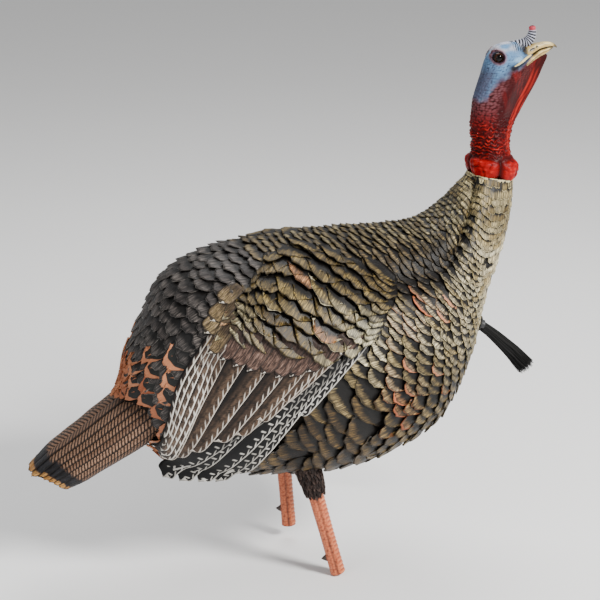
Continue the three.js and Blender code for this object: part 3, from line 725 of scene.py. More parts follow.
def paint_body(x, y, z, k, side, r):
    """Tone, rim colour and rim width in mm of each body feather from where it lies."""
    blot = wave(x / 40, y / 40, z / 40, 3)
    jit = r.normal(0, 1, len(x))
    col = lambda t: t[:, None]

    def between(first, second, spread=0.4):
        return blend(lin(*first), lin(*second), col(np.clip(0.5 + spread * jit, 0, 1)))

    copper = between((140, 64, 38), (184, 104, 66))
    belly_tone_and_shade = between((74, 56, 30), (120, 96, 56))
    # pale cream higher up, pushed towards white as a painted highlight on the upper breast; darker
    # olive lower down
    low = smooth(215, 120, z)
    tone = blend(
        between((190, 168, 116), (244, 232, 194)), between((106, 87, 49), (156, 134, 85), 0.35),
        col(low),
    )
    back = smooth(0.42, 0.26, side) * smooth(14.2, 12.5, k)
    tone = blend(tone, between((90, 74, 46), (134, 114, 78)), col(back))
    warm = smooth(0.25, 0.9, wave(x / 30, y / 30, z / 30, 8) + 0.3 * jit)
    warm = np.clip(warm + 0.5 * smooth(140, 112, x) * (jit > -0.2), 0, 1)
    warm = warm * smooth(205, 150, x) * smooth(70, 100, x)
    warm = warm * smooth(0.27, 0.32, side) * smooth(0.8, 0.6, side)
    tone = blend(tone, copper, col(0.5 * warm))
    tone = blend(tone, between((132, 112, 68), (206, 190, 142)), col(smooth(300, 330, z)))
    # darker towards the rear belly: the belly's own tone, with painted shade under the wing
    belly = smooth(105, 40, x + 10 * blot) * smooth(0.5, 0.6, side)
    tone = blend(tone, belly_tone_and_shade, col(belly))
    dark_rim = np.maximum(back, low)
    # pale rim dry-brushed on the raised free edge, a painted highlight there too
    rim = blend(tone, lin(214, 202, 160), 0.4)
    rim = blend(blend(rim, tone * 0.22, col(dark_rim)), copper, col(warm))
    kind = np.where(warm > 0.5, 3.0, np.where(dark_rim > 0.5, 0.7, 0.25))
    rump = smooth(5.1, 4.8, k + 0.25 * blot) > 0.5
    tone[rump] = between((70, 64, 62), (108, 101, 97))[rump]
    rim[rump] = between((84, 79, 75), (112, 106, 100))[rump]
    kind[rump] = 0.3
    # the underside of the rump takes the same darker tone, with painted shade
    under = rump & (side > 0.56 + 0.05 * blot)
    tone[under] = belly_tone_and_shade[under]
    # painted shade in the deep fold that runs from the wrist of the wing up to the neck
    fold_shade = bell(side - 0.275 + 0.036 * (k - 7.9), 0.03) * smooth(7.4, 7.8, k) * smooth(10.4, 9.6, k)
    return tone * (1 - 0.93 * col(fold_shade)), rim * (1 - 0.9 * col(fold_shade)), kind


def undercoat():
    m = Net("dark_undercoat")
    n = m.noise(m.place(), 90.0, 5.0, 0.6)
    colour = m.mix(n, lin(8, 7, 6), lin(26, 22, 17))
    return m.done(colour, 0.85, m.bump(n, 0.5, 0.001), Specular_IOR_Level=0.1)


FEATHER = feather_material("feather_paint_barbs")
COVERT = feather_material(
    "copper_rim_barbs", root_wash_and_shade=(0.4, 0.6), lines=0.5, border=1.0, wobble=0.8, rimmed=(0.66, 0.8),
    edged=False,
)
NECK = feather_material("neck_plate_barbs", root_wash_and_shade=(0.54, 0.74), lines=0.8, border=1.7, wobble=1.3)
UNDERCOAT = undercoat()
NECK_AXIS = np.array([0.164, 0, 0.9865])
RUMP_AXIS = np.array([-0.9, 0, -0.44])
STAKE_HOLE = 30         # radius of the hole for the stake, mm


def body_skin():
    """The moulded body under the feathers, with its neck mouth and the hole for the stake."""
    rows = np.arange(0, len(station), 4)
    cols = np.arange(0, ROUND, 4)
    rings = [*BODY.p[rows][:, cols][station[rows] >= 0], BODY.p[-1][cols]]
    rear, collar = rings[0], rings[-1]
    lip = blend(collar.mean(0), collar, 0.9)
    closing = [
        blend(rear.mean(0), rear, share) + RUMP_AXIS * bulge
        for share, bulge in ((0.02, 7), (0.45, 7), (0.8, 4.2))
    ]
    grid = np.array([*closing, *rings, lip, lip - NECK_AXIS * 30])
    v = grid.reshape(-1, 3)
    faces = grid_faces(len(grid), len(cols), wrap=True)
    mid = v[faces].mean(1)
    hole = (np.hypot(mid[:, 0], mid[:, 1]) < STAKE_HOLE) & (mid[:, 2] < 60)
    skin = build("body_skin", v, faces[~hole].tolist(), UNDERCOAT, "body")
    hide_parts("body_shell")


body_skin()
body_feathers()
tail_coverts()


# ---------------------------------------------------------------- long feathers
def plumes(f, patch, lines, half, base, tilt, camber, thick, tone, rim, seed,
           lift=0.0, tip=0.9, mirror=False, point=0.55):
    """Long feathers whose free edge (a = 1) runs on each given line of patch (u, v) points.
    base(u, v) is the height of what they lie on, tilt raises their free edge, and their end
    rounds off from the share tip on, more pointed with a larger point."""
    r = np.random.default_rng(seed)
    l, a, s = f.l, f.a, f.l[:, 0]
    round_off = np.sqrt(np.clip(1 - np.clip((s - tip) / (1 - tip), 0, 1) ** 2.2, 0.02, 1))
    narrow = 0.72 + 0.28 * smooth(0, 0.35, s)
    crown = camber * (1 - np.abs(a) ** 2 + 0.6 * bell(a - 0.15, 0.1))
    for i, points in enumerate(lines):
        fine = spline(points, np.linspace(0, len(points) - 1, 101))
        reach = run_length(fine)
        total = reach[-1]

        def follow(line):
            return np.stack([np.interp(s * total, reach, line[:, j]) for j in (0, 1)], -1)

        t = unit(follow(unit(np.gradient(fine, axis=0))))
        side = np.stack([-t[:, 1], t[:, 0]], -1)
        wide = (half[i] * narrow)[:, None]
        rounded = wide * round_off[:, None]
        spot = (follow(fine) - side * wide)[:, None] + side[:, None] * (a * rounded)[..., None]
        back = (1 - round_off)[:, None] * np.abs(a) ** 2 * half[i] * point
        u, v = np.moveaxis(spot - t[:, None] * back[..., None], -1, 0)
        h = base(u, v) + tilt * (a + 1) / 2 + lift * l**2 + crown + r.uniform(0, 0.3)
        h = h + 0.25 * np.sin(l * total / 6 + r.uniform(0, 6)) * smooth(0.3, 1, np.abs(a))
        fea = np.stack([a, l, r.uniform() + 0 * h], -1)
        feb = np.stack([rounded + 0 * h, total + 0 * h, 0 * h], -1)
        f.add(
            patch, u[None], v[None], h[None], thick, fea[None], feb[None],
            tone[i : i + 1], rim[i : i + 1], mirror,
        )


class QuillNet(Net):
    """The values that every long-feather material starts from; edge and along are in mm."""

    def __init__(self, name, streak=0.5):
        super().__init__(name)
        self.a, self.l, self.rnd = self.split("fea")
        half, self.length, _ = self.split("feb")
        self.tone, self.rim = self.colour("tone"), self.colour("rim")
        self.edge = (1.0 - self.a) * half
        self.along = self.l * self.length
        self.to_tip = (1.0 - self.l) * self.length
        slant = (self.along - self.edge * 0.8) * (1.0 / streak)
        self.barbs = self.streaks(slant, self.edge * 0.25)
        flecks = self.vec(self.along * 0.12, self.edge * 0.2, self.rnd * 77.0)
        self.blot = self.noise(flecks, 1.0, 4.0, 0.6)

    def streaks(self, over, flow):
        return self.noise(self.vec(over, flow, self.rnd * 50.0), 0.9, 3.0, 0.65)

    def saw(self, lean, pitch, shift):
        """0 in the middle of each pitch of lean, 0.5 at its ends."""
        return abs(self.math("FRACT", lean / pitch + shift) - 0.5)

    def shaft(self, wide):
        return self.below(abs(self.a - 0.15), 0.03, wide)


def barred_material(name, dark, pitch, bar_len, bar_wide, line, cross=False):
    """Wing quills: pale free edge, thorn-like light bars off it, painted shade beside the shaft
    and over the inner half, under the next quill; lengths in mm."""
    m = QuillNet(name)
    edge, barbs, blot = m.edge, m.barbs, m.blot
    wobble = (blot - 0.5) * 3.0
    taper = (m.step(m.l, 0.0, 0.6) - 1.0) * (line * 0.45)
    edge_line = m.below(edge + (barbs - 0.5) - taper, line * 0.75, line * 1.45)
    fade = m.step(m.l, 0.08, 0.4) * 0.65 + 0.35
    lean = m.along + edge * 1.75 + (wobble + m.rnd * 30.0)
    thorn = m.below(m.saw(lean, pitch, 0.0), bar_wide * 0.55 / pitch, bar_wide * 1.15 / pitch)
    bars = thorn * m.below(edge + wobble, bar_len * 0.65, bar_len * 1.1)
    if cross:
        lean = m.along - edge * 0.35 + m.rnd * 30.0
        dash = m.below(m.saw(lean, pitch, 0.08), bar_wide * 0.5 / pitch, bar_wide * 0.95 / pitch)
        span = m.step(edge, bar_len * 0.7, bar_len * 0.95)
        span = span * m.below(edge, bar_len * 1.7, bar_len * 2.1)
        bars = m.math("MAXIMUM", bars, dash * span)
    bars = bars * m.below(m.l, 0.965, 1.0)
    base = m.coats(
        m.mix(m.step(barbs * 0.5 + blot * 0.5, 0.36, 0.62), lin(*dark), m.tone),
        # painted shade over the inner half, where the next quill's edge lies, and along the shaft
        (m.below(m.a, -0.45, 0.35), dark),
        (m.shaft(0.2) * 0.6, dark),
    )
    paint = m.math("MAXIMUM", edge_line * fade, m.step(m.l, 0.975, 0.99) * 0.7)
    paint = m.math("MAXIMUM", paint, bars * fade * (blot + 0.3))
    paint = m.math("MULTIPLY", paint, barbs * 0.55 + 0.68, clamp=True)
    normal = m.bump(paint, 0.25, 0.0003, m.bump(barbs, 0.6, 0.0003))
    colour = m.mix(paint, base, m.rim)
    return m.done(colour, barbs * 0.25 + 0.42, normal, Specular_IOR_Level=0.2)


def mauve_material(name):
    """Great coverts: dusty mauve panels with slanting dark barbs and pale ones, a painted
    highlight; painted shade in the side seams, a dark band and a pale tip.
    """
    m = QuillNet(name)
    barbs = m.streaks(m.edge * 1.1 + m.along * 0.12, m.along * 0.1)
    tip = m.to_tip + (barbs - 0.5) * 1.4
    colour = m.coats(
        lin(22, 14, 12),
        (m.step(barbs, 0.38, 0.6) * 0.8 + 0.12, m.tone),
        # paler barbs: a painted highlight
        (m.step(barbs, 0.52, 0.7) * 0.6, m.rim),
        (m.step(m.l, 0.62, 0.3) * 0.75, (26, 19, 16)),
        (m.step(m.blot, 0.6, 0.35) * 0.35, (40, 29, 24)),
        # painted shade in the seams along both side edges
        (m.step(abs(m.a), 0.72, 0.98) * 0.8, (30, 25, 23)),
        (m.step(tip, 1.0, 1.8) * m.below(tip, 4.5, 7.5) * 0.85, (24, 22, 21)),
        (m.below(tip, 0.8, 1.6) * 0.75, (214, 208, 196)),
    )
    normal = m.bump(barbs, 0.8, 0.0004)
    return m.done(colour, barbs * 0.2 + 0.45, normal, Specular_IOR_Level=0.2)


# ---------------------------------------------------------------- wing
# Upper edge of the wing slab, and the outline of the slab, as (x, v) on the wing patch.
WING_UP = np.array([
    (-150, 226), (-112, 258), (-85, 288), (-74, 304), (-53, 330), (-24, 350), (13, 336),
    (53, 316), (95, 284), (112, 262),
])
WING_RING = np.array([
    (90, 250), (84, 268), (60, 290), (20, 312), (-20, 326), (-50, 312), (-72, 288), (-98, 248),
    (-122, 208), (-146, 160), (-164, 110), (-168, 72), (-158, 40), (-140, 32), (-114, 38),
    (-90, 50), (-64, 76), (-34, 122), (-2, 156), (28, 185), (56, 207), (78, 228),
], float)
WING_HUB = np.array([-50.0, 185.0])
WING_SHARES = {0.05: 1, 0.25: 1, 0.5: 1, 0.7: 1, 0.85: 1, 0.94: 1, 0.985: 0.85, 1.0: 0.4}


def wing_rise(x, z):
    """Height of the wing slab over the flank: thin at its upper edge, thick below."""
    up = np.interp(x, WING_UP[:, 0], WING_UP[:, 1])
    rear = np.interp(x, [-205, -175, -140], [0.25, 0.8, 1.0])
    return np.interp(up - z, [0, 14, 40, 75], [0.8, 3.0, 6.5, 8.5]) * rear


def wing_slab(name, mirror):
    """Slab in rings round the hub: WING_SHARES holds each ring's size and share of the rise."""
    closed = np.vstack([WING_RING, WING_RING[:1]])
    fine = spline(closed, np.linspace(0, len(WING_RING), 133))[:-1]
    flip = (1, -1 if mirror else 1, 1)
    tops, lows = [], []
    for share, height in WING_SHARES.items():
        x, z = blend(WING_HUB, fine, share).T
        p, n = WING.at(x, z)
        tops.append((p + n * (wing_rise(x, z) * height)[:, None]) * flip)
        lows.append((p - n * 1.5) * flip)
    faces = loft_faces(2 * len(tops), len(fine))
    return build(name, np.vstack(tops + lows[::-1]), faces, UNDERCOAT, "body")


class Ruled:
    """The wing's covert rows: u counts rows downward, v runs from the rear to the wrist."""

    SAG = 7.0           # how far the middle rows hang below a straight ruling, mm
    PAST_END = 150      # mm per unit of v past either end

    def __init__(self, top, low, rows):
        self.lines = [spline(line, np.linspace(0, len(line) - 1, 101)) for line in (top, low)]
        self.rows = rows

    def spot(self, u, v):
        share = np.linspace(0, 1, 101)
        v = np.clip(v, -0.12, 1.12)
        t, on = u / self.rows, np.clip(v, 0, 1)
        x, z = (
            blend(*(np.interp(v, share, line[:, j]) for line in self.lines), t) for j in (0, 1)
        )
        sag = self.SAG * np.sin(on * math.pi) * np.sin(np.clip(t, 0, 1) * math.pi)
        return x + (v - on) * self.PAST_END, z - sag

    def at(self, u, v):
        x, z = self.spot(u, v)
        p, n = WING.at(x, z)
        return p + n * wing_rise(x, z)[..., None], n


COVERTS = Ruled(
    [(-85, 284), (-74, 300), (-53, 325), (-22, 344), (14, 331), (53, 312), (97, 280)],
    [(-107, 234), (-89, 222), (-62, 212), (-17, 199), (24, 200), (59, 213)],
    11.0,
)
# Free edges of the long feathers as (x, v) points on the wing patch, root to tip.
GREAT_COVERTS = [
    [(-88, 281), (-101, 270), (-114, 258)], [(-98, 262), (-113, 249), (-127, 236)],
    [(-103, 247), (-120, 236), (-135, 222)], [(-99, 236), (-117, 219), (-132, 201)],
    [(-86, 234), (-103, 213), (-118, 194)], [(-69, 230), (-87, 207), (-103, 187)],
    [(-52, 224), (-71, 201), (-87, 181)], [(-35, 219), (-54, 196), (-71, 177)],
    [(-18, 215), (-37, 192), (-53, 172)], [(-1, 214), (-19, 191), (-36, 172)],
    [(17, 214), (0, 193), (-16, 176)], [(35, 216), (19, 200), (4, 185)],
    [(50, 219), (37, 206), (22, 194)],
]
STACKED = [
    [(-125, 238), (-141, 217), (-168, 168), (-186, 94)],
    [(-123, 232), (-139, 211), (-163, 165), (-186, 80)],
    [(-121, 227), (-137, 207), (-158, 161), (-185, 71)],
    [(-118, 222), (-134, 202), (-151, 159), (-183, 63)],
    [(-114, 218), (-130, 198), (-146, 156), (-180, 56)],
]
SECONDARIES = [
    [(-105, 226), (-145, 150), (-178, 52)], [(-78, 222), (-122, 157), (-167, 60)],
    [(-52, 212), (-104, 143), (-151, 72)], [(-28, 208), (-86, 136), (-123, 88)],
    [(-3, 206), (-61, 141), (-101, 97)], [(16, 207), (-42, 149), (-76, 116)],
    [(33, 210), (-20, 165), (-50, 141)],
]
PRIMARIES = [
    [(-103, 104), (-147, 58), (-182, 14)], [(-55, 136), (-103, 95), (-160, 12)],
    [(-11, 166), (-60, 114), (-138, 13)], [(27, 195), (-48, 113), (-117, 15)],
    [(49, 211), (-30, 126), (-96, 27)], [(73, 226), (27, 178), (-28, 118)],
]


def covert_feathers(mirror, side):
    r = np.random.default_rng(21)
    columns = 5.6
    laid = []
    for row in range(-1, 11):
        for c in np.arange(-0.5, 6.2):
            t = (c + 0.5 * (row % 2)) / columns
            spot = 1 - max(1 - t, 0) ** 1.2 if t > 0 else t * 1.2
            rear = spot < 0.09                  # longer, and only in every second row
            if not rear or row % 2 == 0:
                laid.append((row, spot, 1.4 if rear else 1.0))
    u, v, deep = np.array(laid).T
    u = u + r.normal(0, 0.16, len(u)) - 1.1
    v = v + r.normal(0, 0.012, len(v)) + 0.02
    keep = (v > -0.1) & (v < 1.03)
    u, v, deep = u[keep], v[keep], deep[keep]
    gap = np.interp(v, [0, 0.4, 0.8, 1.0], [1.2, 1.05, 0.85, 0.7]) / columns
    n = len(u)
    du = r.uniform(2.15, 2.6, n) * deep * np.interp(v, [0, 0.35], [1.55, 1.0])
    lean = -0.55 * gap * (1 - 0.3 * v)
    at = lambda steps, aside: np.array(COVERTS.spot(u + steps, v + aside))
    mm_long = np.hypot(*(at(du, lean) - at(0, 0)))
    mm_half = np.hypot(*(at(du * 0.7, gap * 0.5) - at(du * 0.7, gap * -0.5))) / 2
    gold = drawn_colours(r, n, 0.35, (98, 79, 40), (154, 132, 78))
    bright = drawn_colours(r, n, 0.3, (200, 188, 142), (226, 218, 184))
    wrist = 0.9 * smooth(0.68, 0.95, v + 0.1 * r.normal(0, 1, n)) * smooth(2.5, 6, u)
    rear = 0.6 * smooth(0.32, 0.05, v) * smooth(1, 4, u)
    upper = drawn_colours(r, n, 0.3, (92, 76, 44), (122, 104, 66))
    tone = blend(gold, upper, 0.7 * smooth(3.5, 0.5, u)[:, None])
    tone = blend(blend(tone, bright, wrist[:, None]), bright, rear[:, None])
    spark = (r.uniform(0, 1, n) < np.where(v < 0.3, 0.12, 0.03)) & (v < 0.75)
    copper = drawn_colours(r, n, 0.3, (176, 92, 52), (210, 140, 96))
    tone = blend(tone, copper, 0.5 * spark[:, None])
    pale = (r.uniform(0, 1, n) < 0.18) & (u > 2)
    rim = blend(tone * 0.2, lin(190, 180, 150), pale[:, None])
    kind = np.where(r.uniform(0, 1, n) < 0.5, 0.5, 0.15)
    lift = 4.4 * np.clip(mm_long / 28, 0.5, 1.1) + np.interp(u, [-1, 2, 6], [0.6, 2.0, 3.5])
    slope = np.interp(v, [0, 0.25, 0.6, 1], [1.7, 1.5, 1.1, 0.8]) * r.uniform(0.75, 1.25, n)
    f = Feathers(8, 9)
    tiles(
        f, COVERTS, u, v, du, gap * np.interp(v, [0, 0.35], [0.72, 0.61]), lean, mm_long,
        mm_half * 1.15, lift, np.clip(mm_half * 0.13, 0.5, 1.7), 2.0, tone, rim, kind, 9,
        mirror=mirror, blunt=0.45, slope=slope,
    )
    f.finish(f"{side}_wing_coverts", WING_GOLD, "wing_paint")


WING_GOLD = feather_material("wing_gold_barbs", root_wash_and_shade=(0.54, 0.78), lines=0.8)
BROWN = (10, 7, 6)
PRIMARY = barred_material("primary_bars", (4, 4, 5), 13.0, 5.0, 1.7, 1.15, cross=True)
SECONDARY = barred_material("secondary_bars", BROWN, 11.0, 6.0, 1.7, 1.0)
STACK = barred_material("stacked_bars", BROWN, 15.0, 4.2, 2.0, 1.1)
MAUVE = mauve_material("great_covert_mauve")
QUILL_THICK = 1.8
GOLD_COVERTS = 4        # the rearmost great coverts are gold like the coverts above them
# Name, free edges, half widths, height over the slab, tilt, tones, rim tones, material,
# rows of points, end shape.
WING_LAYERS = (
    ("primaries", PRIMARIES, [12] * 6, 0.3, 2.6, ((7, 7, 8), (18, 17, 19)),
     ((164, 160, 152), (200, 196, 188)), PRIMARY, 26, {"point": 0.9}),
    ("secondaries", SECONDARIES, [13, 14, 14, 14, 13, 13, 12], 2.2, 2.6,
     ((62, 47, 37), (92, 73, 58)), ((180, 170, 158), (208, 200, 190)), SECONDARY, 26, {}),
    ("stacked_quills", STACKED, [3.0, 4.5, 6, 7, 8], 4.0, 2.0, ((76, 60, 50), (112, 94, 80)),
     ((216, 210, 198), (232, 226, 216)), STACK, 26, {"tip": 0.93}),
    ("great_coverts", GREAT_COVERTS, [10.5] * 13, 4.6, 2.2, ((82, 61, 52), (110, 86, 75)),
     ((146, 118, 104), (172, 144, 130)), MAUVE, 14, {"tip": 0.66}),
)


def wing(side, mirror):
    slab = wing_slab(f"{side}_wing_slab", mirror)
    r = np.random.default_rng(31)
    for name, lines, half, level, tilt, tones, rims, mat, rows, shape in WING_LAYERS:
        tone = drawn_colours(r, len(lines), 0.35, *tones)
        rim = drawn_colours(r, len(lines), 0.35, *rims)
        if name == "great_coverts":
            gold = drawn_colours(r, GOLD_COVERTS, 0.3, (118, 98, 66), (158, 138, 98))
            tone[:GOLD_COVERTS] = gold
        f = Feathers(rows, 9)
        base = lambda u, v: wing_rise(u, v) + level
        plumes(
            f, WING, lines, half, base, tilt, 0.5, QUILL_THICK, tone, rim, 4, mirror=mirror, **shape
        )
        f.finish(f"{side}_wing_{name}", mat, "wing_paint")
    covert_feathers(mirror, side)
    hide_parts(f"{side}_wing")


wing("right", False)
wing("left", True)


# ---------------------------------------------------------------- tail
TAIL_ROOT, TAIL_TIP = np.array([-187.0, 0, 114.5]), np.array([-352.0, 0, 8.5])
# Half width and half thickness of the tail from its root to its tip, mm.
TAIL_SECTIONS = [(65, 31), (66, 33), (65, 31), (62, 28), (59, 26), (51, 19)]
TAIL_STEP = 27.0        # how much sooner the sides and the underside end than the top line
TAIL_ROWS, TAIL_COLS = 61, 81


def tail_lattice(shrink):
    """u from root to tip; v from the top centre line (0) down the right side to the belly (1)."""
    s = np.linspace(0, 1, TAIL_ROWS)
    wide, thick = (spline(TAIL_SECTIONS, s * (len(TAIL_SECTIONS) - 1)) - shrink).T
    turn = np.linspace(0, math.pi, TAIL_COLS)
    up, out = superellipse(turn)
    along = unit(TAIL_TIP - TAIL_ROOT)
    lift = np.array([along[2], 0, -along[0]])
    line = TAIL_ROOT + (TAIL_TIP - TAIL_ROOT) * s[:, None]
    p = line[:, None] + lift * (thick[:, None] * up)[..., None]
    p[..., 1] = -wide[:, None] * out
    short = TAIL_STEP * s[:, None] ** 2 * smooth(0, math.pi / 2, turn)
    return p - along * short[..., None]


TAIL = Patch(
    tail_lattice(3.0), 0, 1 / (TAIL_ROWS - 1), 0, 1 / (TAIL_COLS - 1), (30, 40), RIGHTWARD
)


class TailMm:
    """The tail surface read in millimetres along and round it, so quills keep their width."""

    LONG, ROUND = 194.0, 150.0

    def at(self, u, v):
        return TAIL.at(u / self.LONG, v / self.ROUND)


def tail_material(name):
    m = QuillNet(name, 0.9)
    barbs, blot = m.barbs, m.blot
    lean = m.along + m.edge * 0.55 + (blot - 0.5) * 2.2
    bar = m.step(m.saw(lean, 5.4, m.rnd) + (barbs - 0.5) * 0.22, 0.17, 0.30)
    tip = m.to_tip + (barbs - 0.5) * 4.0
    ink = m.mix(m.step(blot, 0.3, 0.7), lin(10, 10, 11), lin(34, 34, 38))
    glow = m.mix(m.step(barbs, 0.35, 0.65), lin(120, 82, 44), m.rim)
    colour = m.coats(
        lin(22, 13, 9),
        (bar, m.tone),
        (m.step(blot, 0.35, 0.75) * 0.4, (78, 52, 34)),
        (m.below(tip, 30.0, 38.0) * m.step(tip, 9.0, 12.5), ink),
        (m.below(tip, 8.5, 12.0), glow),
        (m.below(m.edge, 1.5, 3.2) * 0.9, (18, 14, 12)),
        (m.shaft(0.12) * 0.35, (40, 28, 20)),
    )
    normal = m.bump(bar, 0.3, 0.0003, m.bump(barbs, 0.7, 0.0004))
    return m.done(colour, barbs * 0.2 + 0.45, normal, Specular_IOR_Level=0.2)


TAIL_PAINT = tail_material("tail_bars")
# Free edge round the tail, where it ends along the tail and half width of each quill, mm.
TAIL_QUILLS = [
    (13, 191, 12), (30, 193, 12), (43, 189, 10), (54, 192, 9), (65, 193, 9), (76, 192, 9),
    (88, 189, 9.5), (102, 186, 10.5), (118, 184, 11.5), (136, 181, 12),
]


def tail():
    right = tail_lattice(3.4)[:-2]
    left = right[:, ::-1] * (1, -1, 1)
    rings = np.concatenate([right, left[:, 1:-1]], axis=1)
    faces = loft_faces(*rings.shape[:2])
    core = build("tail_core", rings.reshape(-1, 3), faces, UNDERCOAT, "body")
    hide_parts("tail")
    lines = [[(2, e), (100, e + 1.5), (end, e - 1.0)] for e, end, _ in TAIL_QUILLS]
    half = [wide for _, _, wide in TAIL_QUILLS]
    for side, mirror in (("left", True), ("right", False)):
        r = np.random.default_rng(41)
        tone = drawn_colours(r, len(lines), 0.3, (112, 84, 66), (146, 114, 92))
        rim = drawn_colours(r, len(lines), 0.3, (176, 122, 62), (206, 156, 88))
        f = Feathers(30, 9)
        plumes(
            f, TailMm(), lines, half, lambda u, v: 0.6, 2.6, 0.5, 1.9, tone, rim, 6, lift=0.6,
            tip=0.965, mirror=mirror, point=0.25,
        )
        f.finish(f"{side}_tail_quills", TAIL_PAINT, "tail_paint")


tail()


# ---------------------------------------------------------------- lofted pieces
def pebbles(a, b, count, seed):
    """Rounded lumps on a jittered net: a in 0..1 runs round (count lumps), b in lump steps."""
    r = np.random.default_rng(seed)
    table = r.uniform(0.15, 0.85, (count, 97, 2))
    u = a * count
    i, j = np.floor(u).astype(int), np.floor(b).astype(int)
    best = np.full(np.shape(u), 9.0)
    for di in (-1, 0, 1):
        for dj in (-1, 0, 1):
            spot = table[(i + di) % count, (j + dj) % 97]
            d = np.hypot(i + di + spot[..., 0] - u, j + dj + spot[..., 1] - b)
            best = np.minimum(best, d)
    return np.sqrt(np.clip(1 - best / 0.72, 0, 1))


class Coats:
    """Paint coats laid over one another on a grid of points."""

    def __init__(self, shape, base):
        self.rgb = np.zeros(shape) + lin(*base)

    def __call__(self, colour, mask):
        self.rgb = blend(self.rgb, lin(*colour), mask[..., None])


def ring_mesh(name, rings, mat, body, colours=None):
    """A closed piece through rings of equal count, with flat ends and its faces outward."""
    rings = np.asarray(rings)
    v = rings.reshape(-1, 3)
    faces = loft_faces(*rings.shape[:2])
    p = v[np.array(faces[:-2])]
    outward = np.cross(p[:, 1] - p[:, 0], p[:, 3] - p[:, 0])
    if (outward * p.mean(1)).sum() < 0:
        faces = [face[::-1] for face in faces]
    attrs = {} if colours is None else {"tone": rgba(np.clip(colours, 0, 1))}
    return build(name, v, faces, mat, body, attrs)


def tube_rings(path, radii, cols, up=(0, 1, 0)):
    """Rings square to a path; radii hold one value a ring, or one a point."""
    t = unit(np.gradient(path, axis=0))
    side = unit(np.cross(t, np.broadcast_to(up, t.shape)))
    turn = circle(cols)[None, :, None]
    out = side[:, None] * np.cos(turn) + np.cross(side, t)[:, None] * np.sin(turn)
    return path[:, None] + np.asarray(radii).reshape(len(path), -1, 1) * out


def grey(m, v):
    return m.node("CombineColor", (v, v, v))


def painted_material(name, rough, grain, mottle, depth, spec=0.4):
    """Hand-painted plastic: colour from the mesh, mottled, with a fine skin grain."""
    m = Net(name)
    fine = m.noise(m.place(), grain, 4.0, 0.6)
    broad = m.noise(m.place(), grain * 0.18, 3.0, 0.6)
    shade = (fine + broad) * mottle + (1.0 - mottle)
    colour = m.mix(1.0, m.colour("tone"), grey(m, shade), "MULTIPLY")
    bump = m.bump(fine, 0.5, depth)
    return m.done(colour, fine * 0.2 + (rough - 0.1), bump, Specular_IOR_Level=spec)


# ---------------------------------------------------------------- head
# Level z, nape x, throat x, half width, keel (how thin the front edge is), millimetres.
# Level z, nape x, throat x, half width, keel (how thin the front edge is), millimetres.
HEAD_FORM = [
    (389.8, 229.5, 279.5, 27.5, 0), (394, 227.5, 283, 29.5, 0), (402, 226.5, 285.5, 30, 0),
    (410, 228.5, 283, 28, 0.05), (416, 230, 279.5, 26, 0.1), (426, 229.5, 278, 25, 0.2),
    (440, 228.5, 279, 24.5, 0.35), (452, 227.5, 283, 24, 0.5), (464, 227, 289.5, 23, 0.6),
    (484, 228, 300.5, 22, 0.66), (500, 232, 309.5, 22, 0.68), (512, 236, 315.5, 22, 0.68),
    (522, 239, 319.5, 22, 0.7), (530, 241.5, 323, 21.5, 0.76), (536, 243.5, 325.5, 21, 0.82),
    (540, 245.5, 325.5, 20.3, 0.86), (544, 248, 314, 19, 0.84), (548, 251, 298, 17, 0.5),
    (552, 255, 293, 13.5, 0.2), (555.4, 261, 290, 9.5, 0.1), (557.8, 269, 285, 4, 0),
]
HEAD_FORM = np.array(HEAD_FORM, float)
HEAD_ROWS, HEAD_COLS = 220, 176
COLLAR_SLOPE = 0.166
COLLAR_X = 254
EYE_AT = (255.3, 12.9, 541.0)


def keel_share(c):
    """How much of the keel's thinning there is at cosine c of the way round."""
    return smooth(-0.05, 0.72, c)


def head_grid():
    reach = run_length(HEAD_FORM[:, [0, 3]])
    s = np.interp(np.linspace(0, reach[-1], HEAD_ROWS), reach, np.arange(len(HEAD_FORM)))
    level, nape, throat, half, keel = spline(HEAD_FORM, s).T[..., None]
    turn = circle(HEAD_COLS)[None]
    c, sn = np.cos(turn), np.sin(turn)
    x = (nape + throat) / 2 + (throat - nape) / 2 * c
    blunt = 1 - 0.3 * smooth(500, 530, level) * smooth(0.2, -0.2, c)
    y = half * bent(sn, blunt) * (1 - keel * keel_share(c))
    z = level - COLLAR_SLOPE * (x - COLLAR_X) * (1 - smooth(389.8, 432, level))
    return np.stack([x, y, z], -1), level + 0 * x, c + 0 * x, turn + 0 * x


